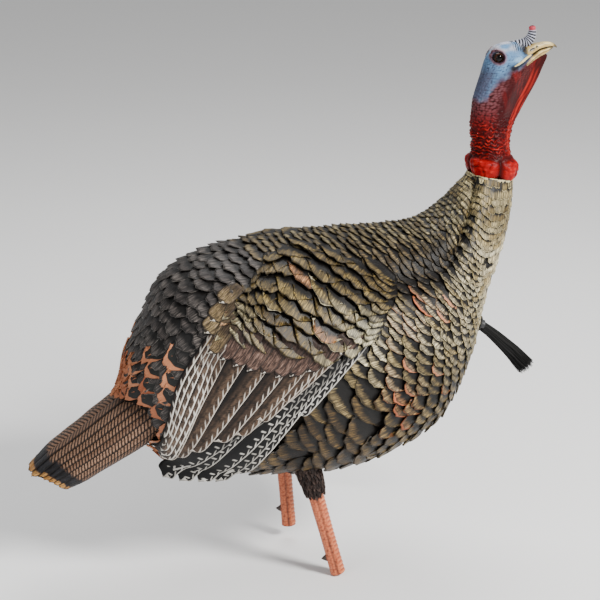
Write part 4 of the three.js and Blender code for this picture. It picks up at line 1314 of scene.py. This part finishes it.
def head():
    p, level, c, turn = head_grid()
    around = turn / TURN
    n = unit(np.cross(np.gradient(p, axis=1), np.gradient(p, axis=0)))
    if ((p - p.mean(1, keepdims=True)) * n).sum() < 0:
        n = -n
    x, y, z = p[..., 0], p[..., 1], p[..., 2]
    rough = wave(x / 9, y / 9, z / 9, 61)
    # lumps of the neck: long ridges low down, small grains higher up and on the nape
    grains = pebbles(around + 0.008 * rough, level / 3.0, 44, 63)
    fine = pebbles(around, level / 2.1, 66, 64)
    coil = TURN * level / 5.0 + 5.2 * wave(x / 3.6, y / 3.6, level / 4.2, 68)
    broken = smooth(-0.5, 0.15, wave(x / 3.4, y / 3.4, level / 3.4, 69))
    ridges = smooth(0.3, 0.95, 0.5 + 0.5 * np.sin(coil)) * (0.3 + 0.7 * broken)
    low = smooth(476, 444, level) * smooth(408, 416, level)
    high = smooth(440, 462, level) * (1 - smooth(500, 520, level)) * smooth(0.2, -0.1, c)
    face = smooth(500, 515, level) * smooth(0.6, 0.3, c)
    lobe_shape = np.abs(np.sin(2 * turn - 0.12 * np.sin(turn) ** 2)) ** 0.6
    lobe = lobe_shape * smooth(415, 403, level) * (0.5 + 0.5 * smooth(389, 396, level))
    knobs = pebbles(around + 0.014 * rough, level / 4.4 + 0.5 * rough, 26, 65)
    foot_rim = smooth(414, 407, level)
    front_fold = bell(c - 0.72, 0.12) * smooth(420, 440, level) * smooth(528, 505, level)
    up = 2.6 * ridges * low * (1 - 0.6 * smooth(0.55, 0.75, c)) + 1.0 * grains * high
    up = up + 0.75 * fine * face + 6.2 * lobe - 1.2 * foot_rim + 2.4 * knobs * foot_rim * lobe
    up = up + 0.8 * rough * low + 0.5 * grains * low - 0.9 * front_fold
    # eye socket and lids
    dx, dz = x - EYE_AT[0], z - EYE_AT[2]
    d = np.where(np.abs(y) > 4, np.hypot(dx, dz), 40)
    lids = bell(d - 7.9, 1.4) * (1.0 + 0.25 * np.sin(np.arctan2(dz, dx) * 9))
    up = up + 1.6 * lids + 0.8 * bell(d - 11.0, 2.2) * smooth(540, 547, z)
    up = up - 3.0 * smooth(7.0, 5.4, d)
    # corner of the gape and hollow of the ear
    gape = bell(x - 272.5, 6) * bell(z - 528, 4)
    up = up - 0.8 * gape - 1.0 * bell(x - 245, 4.5) * bell(z - 518, 4.5)
    top = p + n * up[..., None]
    # the lobes hang over the collar; the skin then turns in under them
    top[..., 2] -= smooth(397, 389.8, level) * (2.0 + 4.0 * lobe_shape)
    mouth = top[0].mean(0)
    lip_out = top[0] + (top[0] - mouth) * (-0.06, -0.06, 0) + (0, 0, 1.2)
    lip_in = mouth + (p[0] - p[0].mean(0)) * 1.02
    lip_in[:, 2] = p[0][:, 2]

    # neck, from the lowest coat up
    patch = wave(x / 6, y / 6, z / 6, 66)
    coat = Coats(p.shape, (30, 4, 4))
    nape = smooth(0.15, -0.25, c)
    mid_red = smooth(500, 462, level) * smooth(440, 455, level) * smooth(0.3, 0.0, c)
    coat((60, 22, 24), nape * smooth(430, 470, level) * 0.9)
    coat((74, 6, 6), low * smooth(0.3, 0.7, grains) * 0.9)
    coat((128, 8, 7), low * smooth(0.3, 0.7, ridges) * (0.55 + 0.45 * smooth(-0.4, 0.5, patch)))
    # painted highlight on the crests of the low ridges
    coat((182, 44, 34), low * smooth(0.72, 1.0, ridges) * 0.75 * smooth(-0.5, 0.3, patch))
    coat((100, 12, 12), mid_red * smooth(0.4, 0.8, grains) * 0.85)
    coat((96, 56, 60), high * smooth(0.45, 0.85, grains) * nape * smooth(456, 486, level))
    coat((16, 5, 7), high * smooth(0.42, 0.12, grains) * 0.9)
    # dark sides of the throat, streaked down from the gape
    hollow = smooth(-0.4, -0.02, c + 0.1 * patch) * smooth(0.66, 0.56, c)
    hollow = hollow * smooth(426, 458, level)
    drip = wave(x / 2.6 + z / 6.5, y / 4, z / 20, 73)
    coat((46, 3, 5), hollow * 0.96)
    coat((98, 16, 16), hollow * smooth(-0.1, 0.6, drip) * smooth(462, 505, level) * 0.75)
    coat((96, 42, 40), hollow * smooth(0.55, 0.9, fine) * smooth(500, 522, level) * 0.5)
    # bright front edge, wrinkled lengthways
    front = smooth(0.57, 0.72, c) * smooth(412, 420, level)
    streak = wave(c * 20 + x / 40, level / 14, y / 1.8, 67)
    coat((80, 5, 4), front)
    coat((158, 36, 26), front * smooth(0.05, 0.6, streak) * 0.8)
    coat((40, 3, 3), front * smooth(-0.2, -0.6, streak) * 0.85)
    # darker at the top, just under the lower beak: dark red skin, and painted shade there
    coat((40, 6, 6), front * smooth(508, 528, level) * 0.9)
    # pale blue face
    edge = np.interp(
        x, [215, 231, 242, 246, 257, 274, 290, 300], [492, 488, 491, 503, 515, 526.5, 535.5, 541]
    )
    frayed = 2.5 * patch + 2.5 * wave(x / 2.5, y / 2.5, z / 2.5, 74)
    blue = smooth(-7, 7, z - edge + frayed) * smooth(0.75, 0.62, c * smooth(548, 540, z))
    crown = smooth(544, 551, z + 1.5 * patch) * blue
    coat((84, 118, 152), blue)
    coat((138, 174, 200), blue * smooth(-0.1, 0.7, patch) * 0.75)
    coat((34, 42, 64), blue * smooth(0.68, 0.25, fine) * 0.85 * smooth(553, 532, z))
    coat((62, 52, 64), blue * smooth(-0.55, -0.85, c) * 0.75 * smooth(540, 515, z))
    coat((158, 160, 170), crown * smooth(-0.6, 0.1, patch))
    # dark creases round the root of the snood, and painted shade between the snood and the beak
    wrinkles = 0.5 + 0.5 * np.sin(x * 1.9 + 0.8 * np.sin(y * 0.9))
    coat((10, 9, 12), smooth(270, 282, x) * smooth(545, 550, z) * smooth(0.3, 0.6, wrinkles))
    # painted shade beneath the snood, before the beak
    coat((24, 26, 36), smooth(284, 292, x) * smooth(538, 544, z) * 0.85)
    # painted shade in the fold under the pale edge of the gape
    below = z - (530.0 + 0.56 * (x - 274.5))
    coat((10, 9, 9), bell(below + 3.4, 2.2) * smooth(268, 274, x) * smooth(301, 295, x) * 0.92)
    # lobes at the foot of the neck: painted highlight on the knobs, painted shade between lobes
    foot = smooth(415, 408, level)
    lobe_highlight = smooth(0.72, 0.98, knobs) * smooth(0.45, 0.9, lobe) * 0.6 * smooth(-0.6, 0.2, patch)
    coat((74, 2, 2), foot)
    coat((134, 5, 5), foot * smooth(0.25, 0.75, lobe) * smooth(0.1, 0.6, knobs))
    coat((200, 50, 38), foot * lobe_highlight)
    # painted shade between the lobes
    coat((26, 2, 2), foot * smooth(0.34, 0.05, lobe) * 0.9)
    # lids, socket and corner of the gape
    coat((70, 30, 26), bell(d - 7.4, 1.4) * 0.95)
    coat((128, 84, 78), bell(d - 9.2, 0.9) * 0.5)
    coat((6, 4, 4), smooth(6.9, 6.0, d))
    coat((18, 10, 10), gape * 0.9)
    top = np.concatenate([lip_in[None], lip_out[None], top])
    colour = np.concatenate([np.repeat(coat.rgb[:1], 2, 0), coat.rgb])
    skin = ring_mesh("head_and_neck", top, HEAD_SKIN, "head", colour)
    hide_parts("head_skin")


def bill(name, stations, is_upper, seed):
    """One half of the beak from (x, top z, bottom z, half width) stations."""
    rows, cols = 96, 56
    x, hi, lo, wide = spline(stations, np.linspace(0, len(stations) - 1, rows)).T[..., None]
    turn = circle(cols)
    z = (hi + lo) / 2 + (hi - lo) / 2 * bent(np.sin(turn), 0.75)
    y = wide * bent(np.cos(turn), 0.8)
    p = np.stack([x + 0 * z, y, z], -1)
    share = (z - lo) / np.maximum(hi - lo, 0.1)
    tip_x = stations[-1][0]
    coat = Coats(p.shape, (172, 146, 88))
    stain = wave(x / 5, y / 5, z / 3, seed)
    grain = wave(x / 14, y / 3, z / 1.6, seed + 5)
    coat((216, 198, 140), smooth(0.35, 0.8, share) * smooth(-0.5, 0.2, stain) * 0.8)
    coat((96, 72, 38), smooth(0.0, 0.6, grain) * 0.6)
    if is_upper:
        nostril_x, nostril_z = 301.5, 549.0
        off = x - nostril_x
        slit = bell(off, 4.6) * bell(z - nostril_z - 0.35 * off, 1.6)
        slit = slit + bell(x - 309, 1.5) * bell(z - 551.8, 1.5)
        coat((16, 12, 9), np.clip(slit * 1.7, 0, 1))
        coat((40, 40, 46), smooth(297, 293, x) * 0.9)
        coat((30, 22, 14), smooth(0.24, 0.1, share) * 0.95)
        p[..., 1] -= np.sign(y) * slit * 0.9
    else:
        coat((30, 22, 14), smooth(0.84, 0.95, share) * 0.9)
        coat((74, 54, 28), bell(share - 0.5, 0.09) * 0.8)
    coat((34, 26, 20), smooth(0.8, 0.97, smooth(tip_x - 26, tip_x, x)) * 0.85)
    ring_mesh(name, p, BILL, "head", coat.rgb)


SNOOD_LINE = [
    (271, 0, 552.5), (280, 0, 555.5), (290, 0, 556), (297, 0, 557), (302, 0, 562),
    (304.4, 0, 570), (303.8, 0, 578.0),
]
SNOOD_RINGS = 14


def snood():
    rows, cols = 150, 40
    path = spline(SNOOD_LINE, np.linspace(0, len(SNOOD_LINE) - 1, rows))
    t = np.linspace(0, 1, rows)[:, None]
    radius = np.interp(
        t, [0, 0.1, 0.35, 0.5, 0.65, 0.8, 0.93, 0.975, 1],
        [1.5, 3.2, 5.6, 6.9, 6.4, 5.3, 4.4, 3.9, 1.4],
    )
    rings = 0.5 + 0.5 * np.sin(t * TURN * SNOOD_RINGS)
    wobble = 0.15 * np.sin(3 * circle(cols) + 7 * t) * rings
    swell = (rings - 0.6) * 0.95 * smooth(0.02, 0.2, t) * smooth(0.97, 0.9, t)
    p = tube_rings(path, radius + swell + wobble, cols)
    coat = Coats(p.shape, (146, 148, 160))
    coat((12, 11, 14), smooth(0.62, 0.3, rings))
    coat((168, 62, 74), smooth(0.86, 0.93, t))
    coat((96, 28, 40), smooth(0.972, 0.99, t))
    ring_mesh("snood", p, HEAD_SKIN, "head", coat.rgb)


def head_width(x, z):
    """Half width of the head at x and level z, before its relief."""
    nape, throat, half, keel = (np.interp(z, HEAD_FORM[:, 0], HEAD_FORM[:, k]) for k in range(1, 5))
    c = np.clip((x - (nape + throat) / 2) / ((throat - nape) / 2), -1, 1)
    return half * np.sqrt(1 - c**2) * (1 - keel * keel_share(c))


GAPE = [(274.5, 530.0), (280, 533.0), (285, 536.0), (291, 539.4), (299, 542.4)]


def gape_edge(name, side):
    """Pale lip that runs from the corner of the gape over the side of the beak."""
    rows = 40
    wide = [max(head_width(x, z), 7.4) + 0.5 for x, z in GAPE]
    wide[-1] = 12.4             # the beak is wider there than the head
    spots = [(x, side * w, z) for (x, z), w in zip(GAPE, wide)]
    radius = np.interp(np.linspace(0, 1, rows), [0, 0.2, 0.7, 1], [0.6, 1.3, 1.6, 1.2])
    path = spline(spots, np.linspace(0, len(spots) - 1, rows))
    p = tube_rings(path, radius, 14, up=(0, 0, 1))
    coat = Coats(p.shape, (196, 178, 122))
    coat((110, 86, 52), (wave(*np.moveaxis(p / 3, -1, 0), 71) > 0.4) * 0.4)
    ring_mesh(name, p, BILL, "head", coat.rgb)


def eye(name, side):
    rows, cols, radius = 40, 48, 6.7
    lat = np.linspace(0.02, math.pi - 0.02, rows)[:, None]
    lon = circle(cols)[None]
    ball = np.stack(
        [np.sin(lat) * np.cos(lon), np.cos(lat) + 0 * lon, np.sin(lat) * np.sin(lon)], -1
    )
    p = np.array(EYE_AT) * (1, side, 1) + radius * ball
    off = np.arccos(np.clip(ball[..., 1] * side, -1, 1))     # angle from the pupil
    rays = 0.5 + 0.5 * np.sin(24 * np.arctan2(ball[..., 2], ball[..., 0]))
    coat = Coats(p.shape, (42, 20, 12))
    coat((66, 34, 20), rays * smooth(0.5, 0.8, off) * 0.5)
    coat((3, 2, 2), smooth(0.86, 0.74, off))
    coat((10, 8, 8), smooth(1.05, 1.2, off))
    eyeball = ring_mesh(f"{name}_ball", p, EYE_GLOSS, "head", coat.rgb)
    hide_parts(name)


HEAD_SKIN = painted_material("head_skin_paint", 0.46, 420.0, 0.3, 0.0003, spec=0.1)
BILL = painted_material("beak_paint", 0.36, 300.0, 0.16, 0.0002)
EYE_GLOSS = painted_material("eye_gloss_coat", 0.1, 200.0, 0.1, 0.00002, spec=0.16)
BEAK_UPPER = [
    (289, 546.5, 535.0, 9.5), (295, 551.2, 536.5, 12.0), (300, 553.2, 539.6, 11.2),
    (306, 554.8, 543.2, 9.4), (313, 555.7, 547.0, 6.8), (320, 556.6, 548.9, 5.2),
    (329, 556.0, 550.0, 3.5), (335, 553.5, 549.6, 2.0), (338.4, 550.4, 548.2, 0.7),
]
BEAK_LOWER = [
    (287, 531, 523.5, 11), (292, 534.4, 525.8, 15.6), (297, 537.4, 528.6, 15.4),
    (303, 541.0, 532.0, 12.6), (309, 544.5, 535.0, 9.8), (316, 547.6, 538.2, 6.8),
    (324, 549.0, 541.9, 4.4), (330, 549.7, 546.2, 2.4), (333.4, 549.9, 548.2, 0.8),
]
head()
bill("beak_upper", BEAK_UPPER, True, 72)
bill("beak_lower", BEAK_LOWER, False, 73)
snood()
for side_name, side_sign in (("right", -1), ("left", 1)):
    gape_edge(f"gape_edge_{side_name}", side_sign)
    eye(f"{side_name}_eye", side_sign)


# ---------------------------------------------------------------- legs
# Side y, top (x, z) and cut foot (x, z) of each leg, mm.
LEGS = {
    "right": (-62.0, (-10, 46), (38, -134)),
    "left": (62.0, (-14, 46), (-1.5, -117)),
}


def spur(name, root, back, down, wide):
    """A curved dark cone pointing back."""
    rows = 30
    path = spline(
        [root, root + back * 4.5, root + back * 8.5 - down * 0.4, root + back * 12.0 - down * 1.2],
        np.linspace(0, 3, rows),
    )
    share = np.linspace(0, 1, rows)[:, None]
    radius = np.interp(share, [0, 0.15, 0.4, 0.7, 0.92, 1], [7.8, 7.4, 5.2, 2.8, 1.1, 0.3])
    p = tube_rings(path, radius, 24)
    p = p - 0.4 * ((p - path[:, None]) @ wide)[..., None] * wide
    coat = Coats(p.shape, (38, 30, 27))
    coat((74, 58, 50), (0.5 + 0.5 * np.sin(share * 40)) * 0.5)
    coat((150, 72, 42), smooth(0.55, 0.3, share))
    ring_mesh(name, p, LEG_PAINT, "body", coat.rgb)


def shank(name):
    y, top, foot = LEGS[name]
    top, foot = np.array([top[0], y, top[1]]), np.array([foot[0], y, foot[1]])
    length = np.linalg.norm(foot - top)
    rows, cols = 190, 72
    mm = np.linspace(0, 1, rows)[:, None] * length
    turn = circle(cols)[None]
    down = unit(foot - top)
    fore = unit(np.array([1.0, 0, 0]) - down * down[0])
    wide = np.cross(down, fore)
    # a shallow groove down each side, plates in front, small scales elsewhere
    groove = bell(np.abs(np.angle(np.exp(1j * turn))) - 1.75, 0.2)
    plates = (mm / 6.2 + 0.1 * np.sin(turn * 2)) % 1.0
    lip = smooth(0.0, 0.75, plates) * smooth(1.0, 0.88, plates)
    scales = pebbles(turn / TURN + 0 * mm, mm / 3.6, 17, 81)
    front = smooth(0.2, 0.5, np.cos(turn))
    up = 0.75 * lip * front + 0.7 * scales * (1 - front) - 1.5 * groove
    base = np.interp(mm / length, [0, 0.35, 0.7, 1], [10.4, 9.6, 8.9, 9.2])
    r = base + up
    r[-1] = base[-1] - 1.2
    fore_part = fore * (r * np.cos(turn) * 1.02)[..., None]
    p = top + down * mm[..., None] + fore_part + wide * (r * np.sin(turn) * 0.94)[..., None]
    patch = wave(p[..., 0] / 7, p[..., 1] / 7, p[..., 2] / 9, 82)
    gap = np.maximum(smooth(0.16, 0.02, plates), smooth(0.93, 0.99, plates)) * front
    coat = Coats(p.shape, (166, 78, 44))
    # painted highlights on the lips of the front plates and on the scales
    coat((222, 138, 92), smooth(0.35, 0.8, lip) * front * (0.55 + 0.3 * patch))
    coat((208, 120, 78), smooth(0.45, 0.9, scales) * (1 - front) * 0.7)
    # painted shade in the gaps between plates, between scales and in the side groove
    coat((66, 22, 11), gap * 0.75)
    coat((70, 26, 14), smooth(0.3, 0.05, scales) * (1 - front) * 0.6)
    coat((52, 18, 10), groove * (0.6 + 0.3 * patch))
    leg = ring_mesh(f"{name}_leg", p, LEG_PAINT, "body", coat.rgb)
    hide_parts(f"{name}_shank")
    spur(f"{name}_spur", top + down * (length - 27) - fore * 4.5, -fore, down, wide)


class Sleeve:
    """A cone of revolution: u millimetres down the axis, v 0..1 round it."""

    def __init__(self, top, low, r0, r1):
        self.top, self.axis = np.array(top), np.array(low) - np.array(top)
        self.length = np.linalg.norm(self.axis)
        self.axis = self.axis / self.length
        self.r0, self.r1 = r0, r1

    def at(self, u, v):
        side = unit(np.array([1.0, 0, 0]) - self.axis * self.axis[0])
        turn = (v * TURN)[..., None]
        out = np.cos(turn) * side + np.sin(turn) * np.cross(self.axis, side)
        u = u[..., None]
        return self.top + self.axis * u + out * blend(self.r0, self.r1, u / self.length), out


THIGH_TOP, THIGH_LOW = 46.0, -14.0      # levels of the thigh's ends, mm


def thigh(name):
    y, top, foot = LEGS[name]
    at = lambda z: (top[0] + (foot[0] - top[0]) * (top[1] - z) / (top[1] - foot[1]), y, z)
    path = np.array([at(z) for z in np.linspace(THIGH_TOP, THIGH_LOW - 1, 12)])
    radius = np.interp(np.arange(12), [0, 10, 11], [18.0, 11.2, 10.9])
    rings = tube_rings(path, radius, 40)
    core = ring_mesh(f"{name}_thigh_core", rings, UNDERCOAT, "body")
    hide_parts(f"{name}_thigh")
    r = np.random.default_rng(83)
    row, v = np.array(bricks(14, 28)).T
    n = len(v)
    u = row * 4.4 - 4 + r.normal(0, 0.8, n)
    v = v + r.normal(0, 0.006, n)
    tone = drawn_colours(r, n, 0.35, (38, 27, 24), (82, 65, 58))
    length = r.uniform(11, 15, n)
    dv, skew, lift = 0.025 * r.uniform(0.9, 1.25, n), r.normal(0, 0.014, n), r.uniform(1.2, 2.6, n)
    f = Feathers(6, 7)
    tiles(
        f, Sleeve(at(THIGH_TOP), at(THIGH_LOW), 18.5, 11.4), u, v, length, dv, skew, length, 2.2,
        lift, 0.5, 1.1, tone, tone * 1.4, 0.1, 84, blunt=0.7,
    )
    f.finish(f"{name}_thigh_tufts", THIGH, "thigh_flock")


# ---------------------------------------------------------------- beard
# Middle line of the tuft as (x, z), and its half thickness there, mm.
BEARD_LINE = [(246, 180.5), (262, 168), (277, 154), (293.5, 138), (308, 122.5), (317.5, 112.5)]
BEARD_SPREAD = [6.0, 6.8, 8.2, 9.8, 11.4, 12.4]
BRISTLES = 560
INK = (3, 3, 3)


def beard():
    r = np.random.default_rng(91)
    steps, cols = 12, 5
    last = len(BEARD_LINE) - 1
    shell = [face[::-1] for face in loft_faces(steps, cols)]
    faces, rings, tones = [], [], []
    for i in range(BRISTLES):
        a, q = r.uniform(0, 6.283), math.sqrt(r.uniform(0, 1))
        reach = r.uniform(0.93, 1.0) if r.uniform() < 0.85 else r.uniform(0.7, 0.93)
        s = np.linspace(0, reach, steps) * last
        c = spline(BEARD_LINE, s)
        w = q * np.interp(s, np.arange(last + 1), BEARD_SPREAD)
        t = unit(np.gradient(c, axis=0))
        bow = 0.8 * np.sin(s * 1.3 + r.uniform(0, 6)) * (s / 5) + r.normal(0, 0.5) * s / 3
        off = w * math.sin(a) + bow
        aside = w * math.cos(a) * 0.82 + r.normal(0, 0.6) * s / 3
        path = np.stack([c[:, 0] - t[:, 1] * off, aside, c[:, 1] + t[:, 0] * off], -1)
        thick = np.interp(s / s[-1], [0, 0.5, 1], [0.72, 0.62, 0.16]) * r.uniform(0.75, 1.15)
        rings.append(tube_rings(path, thick, cols).reshape(-1, 3))
        first = i * steps * cols
        faces += [[first + k for k in face] for face in shell]
        tone = blend(lin(*INK), lin(30, 29, 28), r.uniform(0, 1) ** 2)
        tones.append(np.repeat(tone[None], steps * cols, 0))
    attrs = {"tone": rgba(np.concatenate(tones))}
    points = np.concatenate(rings)
    tuft = build("beard_hairs", points, faces, HAIR, "beard_tuft", attrs)
    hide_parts("beard_bristles")
    s = np.linspace(0, 3.6, 30)
    c = spline(BEARD_LINE, s)
    radius = np.interp(s, [0, 1, 2, 3, 3.4, 3.6], [4.2, 5.6, 7.2, 8.0, 6.0, 1.5])
    core = tube_rings(np.stack([c[:, 0], 0 * s, c[:, 1]], -1), radius, 20)
    coat = Coats(core.shape, INK)
    ring_mesh("beard_core", core, HAIR, "beard_tuft", coat.rgb)


LEG_PAINT = painted_material("leg_paint_coat", 0.45, 350.0, 0.2, 0.0002)
THIGH = feather_material(
    "thigh_flock_barbs", streak_mm=0.4, root_wash_and_shade=(0.3, 0.8), gloss=0.75, lines=0.7, border=0.8
)
HAIR = painted_material("bristle_coat", 0.5, 600.0, 0.2, 0.00005, spec=0.15)
for leg_name in LEGS:
    shank(leg_name)
    thigh(leg_name)
beard()


# ---------------------------------------------------------------- fittings
def fitting_material(name, colour, worn, rough, metal, scale, depth):
    """Moulded plastic, rubber or plated steel with a fine worn grain."""
    m = Net(name)
    fine = m.noise(m.place(), scale, 5.0, 0.6)
    x, y, z = m.axes(m.place())
    marks = m.noise(m.vec(x, y, z * 6.0), scale * 0.3, 3.0)
    tint = m.coats(
        lin(*colour), (m.step(marks, 0.52, 0.72) * 0.5, worn), (fine * 0.3, worn)
    )
    return m.done(tint, fine * 0.16 + (rough - 0.08), m.bump(fine, 0.4, depth), Metallic=metal)


PLASTIC = fitting_material(
    "black_plastic_moulded", (22, 22, 23), (52, 52, 54), 0.5, 0.0, 500.0, 0.0002
)
RUBBER = fitting_material(
    "black_rubber_matt", (16, 16, 16), (44, 43, 42), 0.75, 0.0, 700.0, 0.0003
)
STEEL = fitting_material(
    "zinc_steel_plated", (168, 172, 178), (112, 112, 110), 0.34, 1.0, 420.0, 0.00005
)
FITTINGS = (
    (PLASTIC, ("stake_bush", "tail_pin_left", "tail_pin_right", "right_leg_pin", "left_leg_pin",
               "stake_flange", "stake_tube", "stake_tube_cap", "neck_socket", "swivel_sleeve",
               "swivel_retainer", "neck_peg", "beard_ferrule")),
    (RUBBER, ("stake_grip_ring", "beard_grommet")),
    (STEEL, ("flange_screw_1", "flange_screw_2", "flange_screw_3", "flange_screw_4",
             "peg_screw")),
)
for finish, node_names in FITTINGS:
    for node_name in node_names:
        for slot_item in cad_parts[node_name].material_slots:
            slot_item.link = "OBJECT"
            slot_item.material = finish


# ---------------------------------------------------------------- stage
def aim(obj, at, look):
    obj.location = at
    obj.rotation_euler = (Vector(look) - Vector(at)).to_track_quat("-Z", "Y").to_euler()


def area_light(name, at, look, size, power, colour=(1, 1, 1)):
    data = bpy.data.lights.new(name, "AREA")
    data.shape, data.size, data.energy, data.color = "DISK", size, power, colour
    aim(add_object(name, data), at, look)


def set_stage():
    radius, steps, level = 6.0, 64, cad_box[0][2] - 0.0005
    mesh = bpy.data.meshes.new("floor")
    v = [(radius * math.cos(t), radius * math.sin(t), level) for t in circle(steps)]
    mesh.from_pydata(v, [], [list(range(steps))])
    m = Net("pale_floor")
    pale = np.array([0.86, 0.86, 0.86])
    tint = m.mix(m.noise(m.place(), 3.0, 2.0), pale, pale * 0.985)
    mesh.materials.append(m.done(tint, 0.9))
    add_object("floor", mesh)
    world = bpy.data.worlds.new("soft_room")
    world.use_nodes = True
    world.node_tree.nodes["Background"].inputs[0].default_value = (1, 1, 1, 1)
    world.node_tree.nodes["Background"].inputs[1].default_value = 0.5
    bpy.context.scene.world = world
    area_light("key", (1.5, -1.9, 2.0), (0.05, 0, 0.22), 0.8, 175, (1, 0.985, 0.96))
    area_light("fill", (-1.9, -1.6, 1.1), (0, 0, 0.2), 1.8, 20, (0.95, 0.97, 1))
    area_light("top", (0.2, 0.9, 2.3), (0, 0, 0.25), 1.5, 34)


def set_camera():
    azimuth, elevation = math.radians(-13), math.radians(18)
    distance, target = 2.2, Vector((0, 0, 0.232))
    metres_across = 0.78        # width of the view at the target
    flat = math.cos(elevation)
    back = (math.sin(azimuth) * flat, -math.cos(azimuth) * flat, math.sin(elevation))
    data = bpy.data.cameras.new("photo_view")
    data.sensor_width = 36
    data.lens = data.sensor_width * distance / metres_across
    cam = add_object("photo_view", data)
    aim(cam, target + Vector(back) * distance, target)
    bpy.context.scene.camera = cam


set_stage()
set_camera()
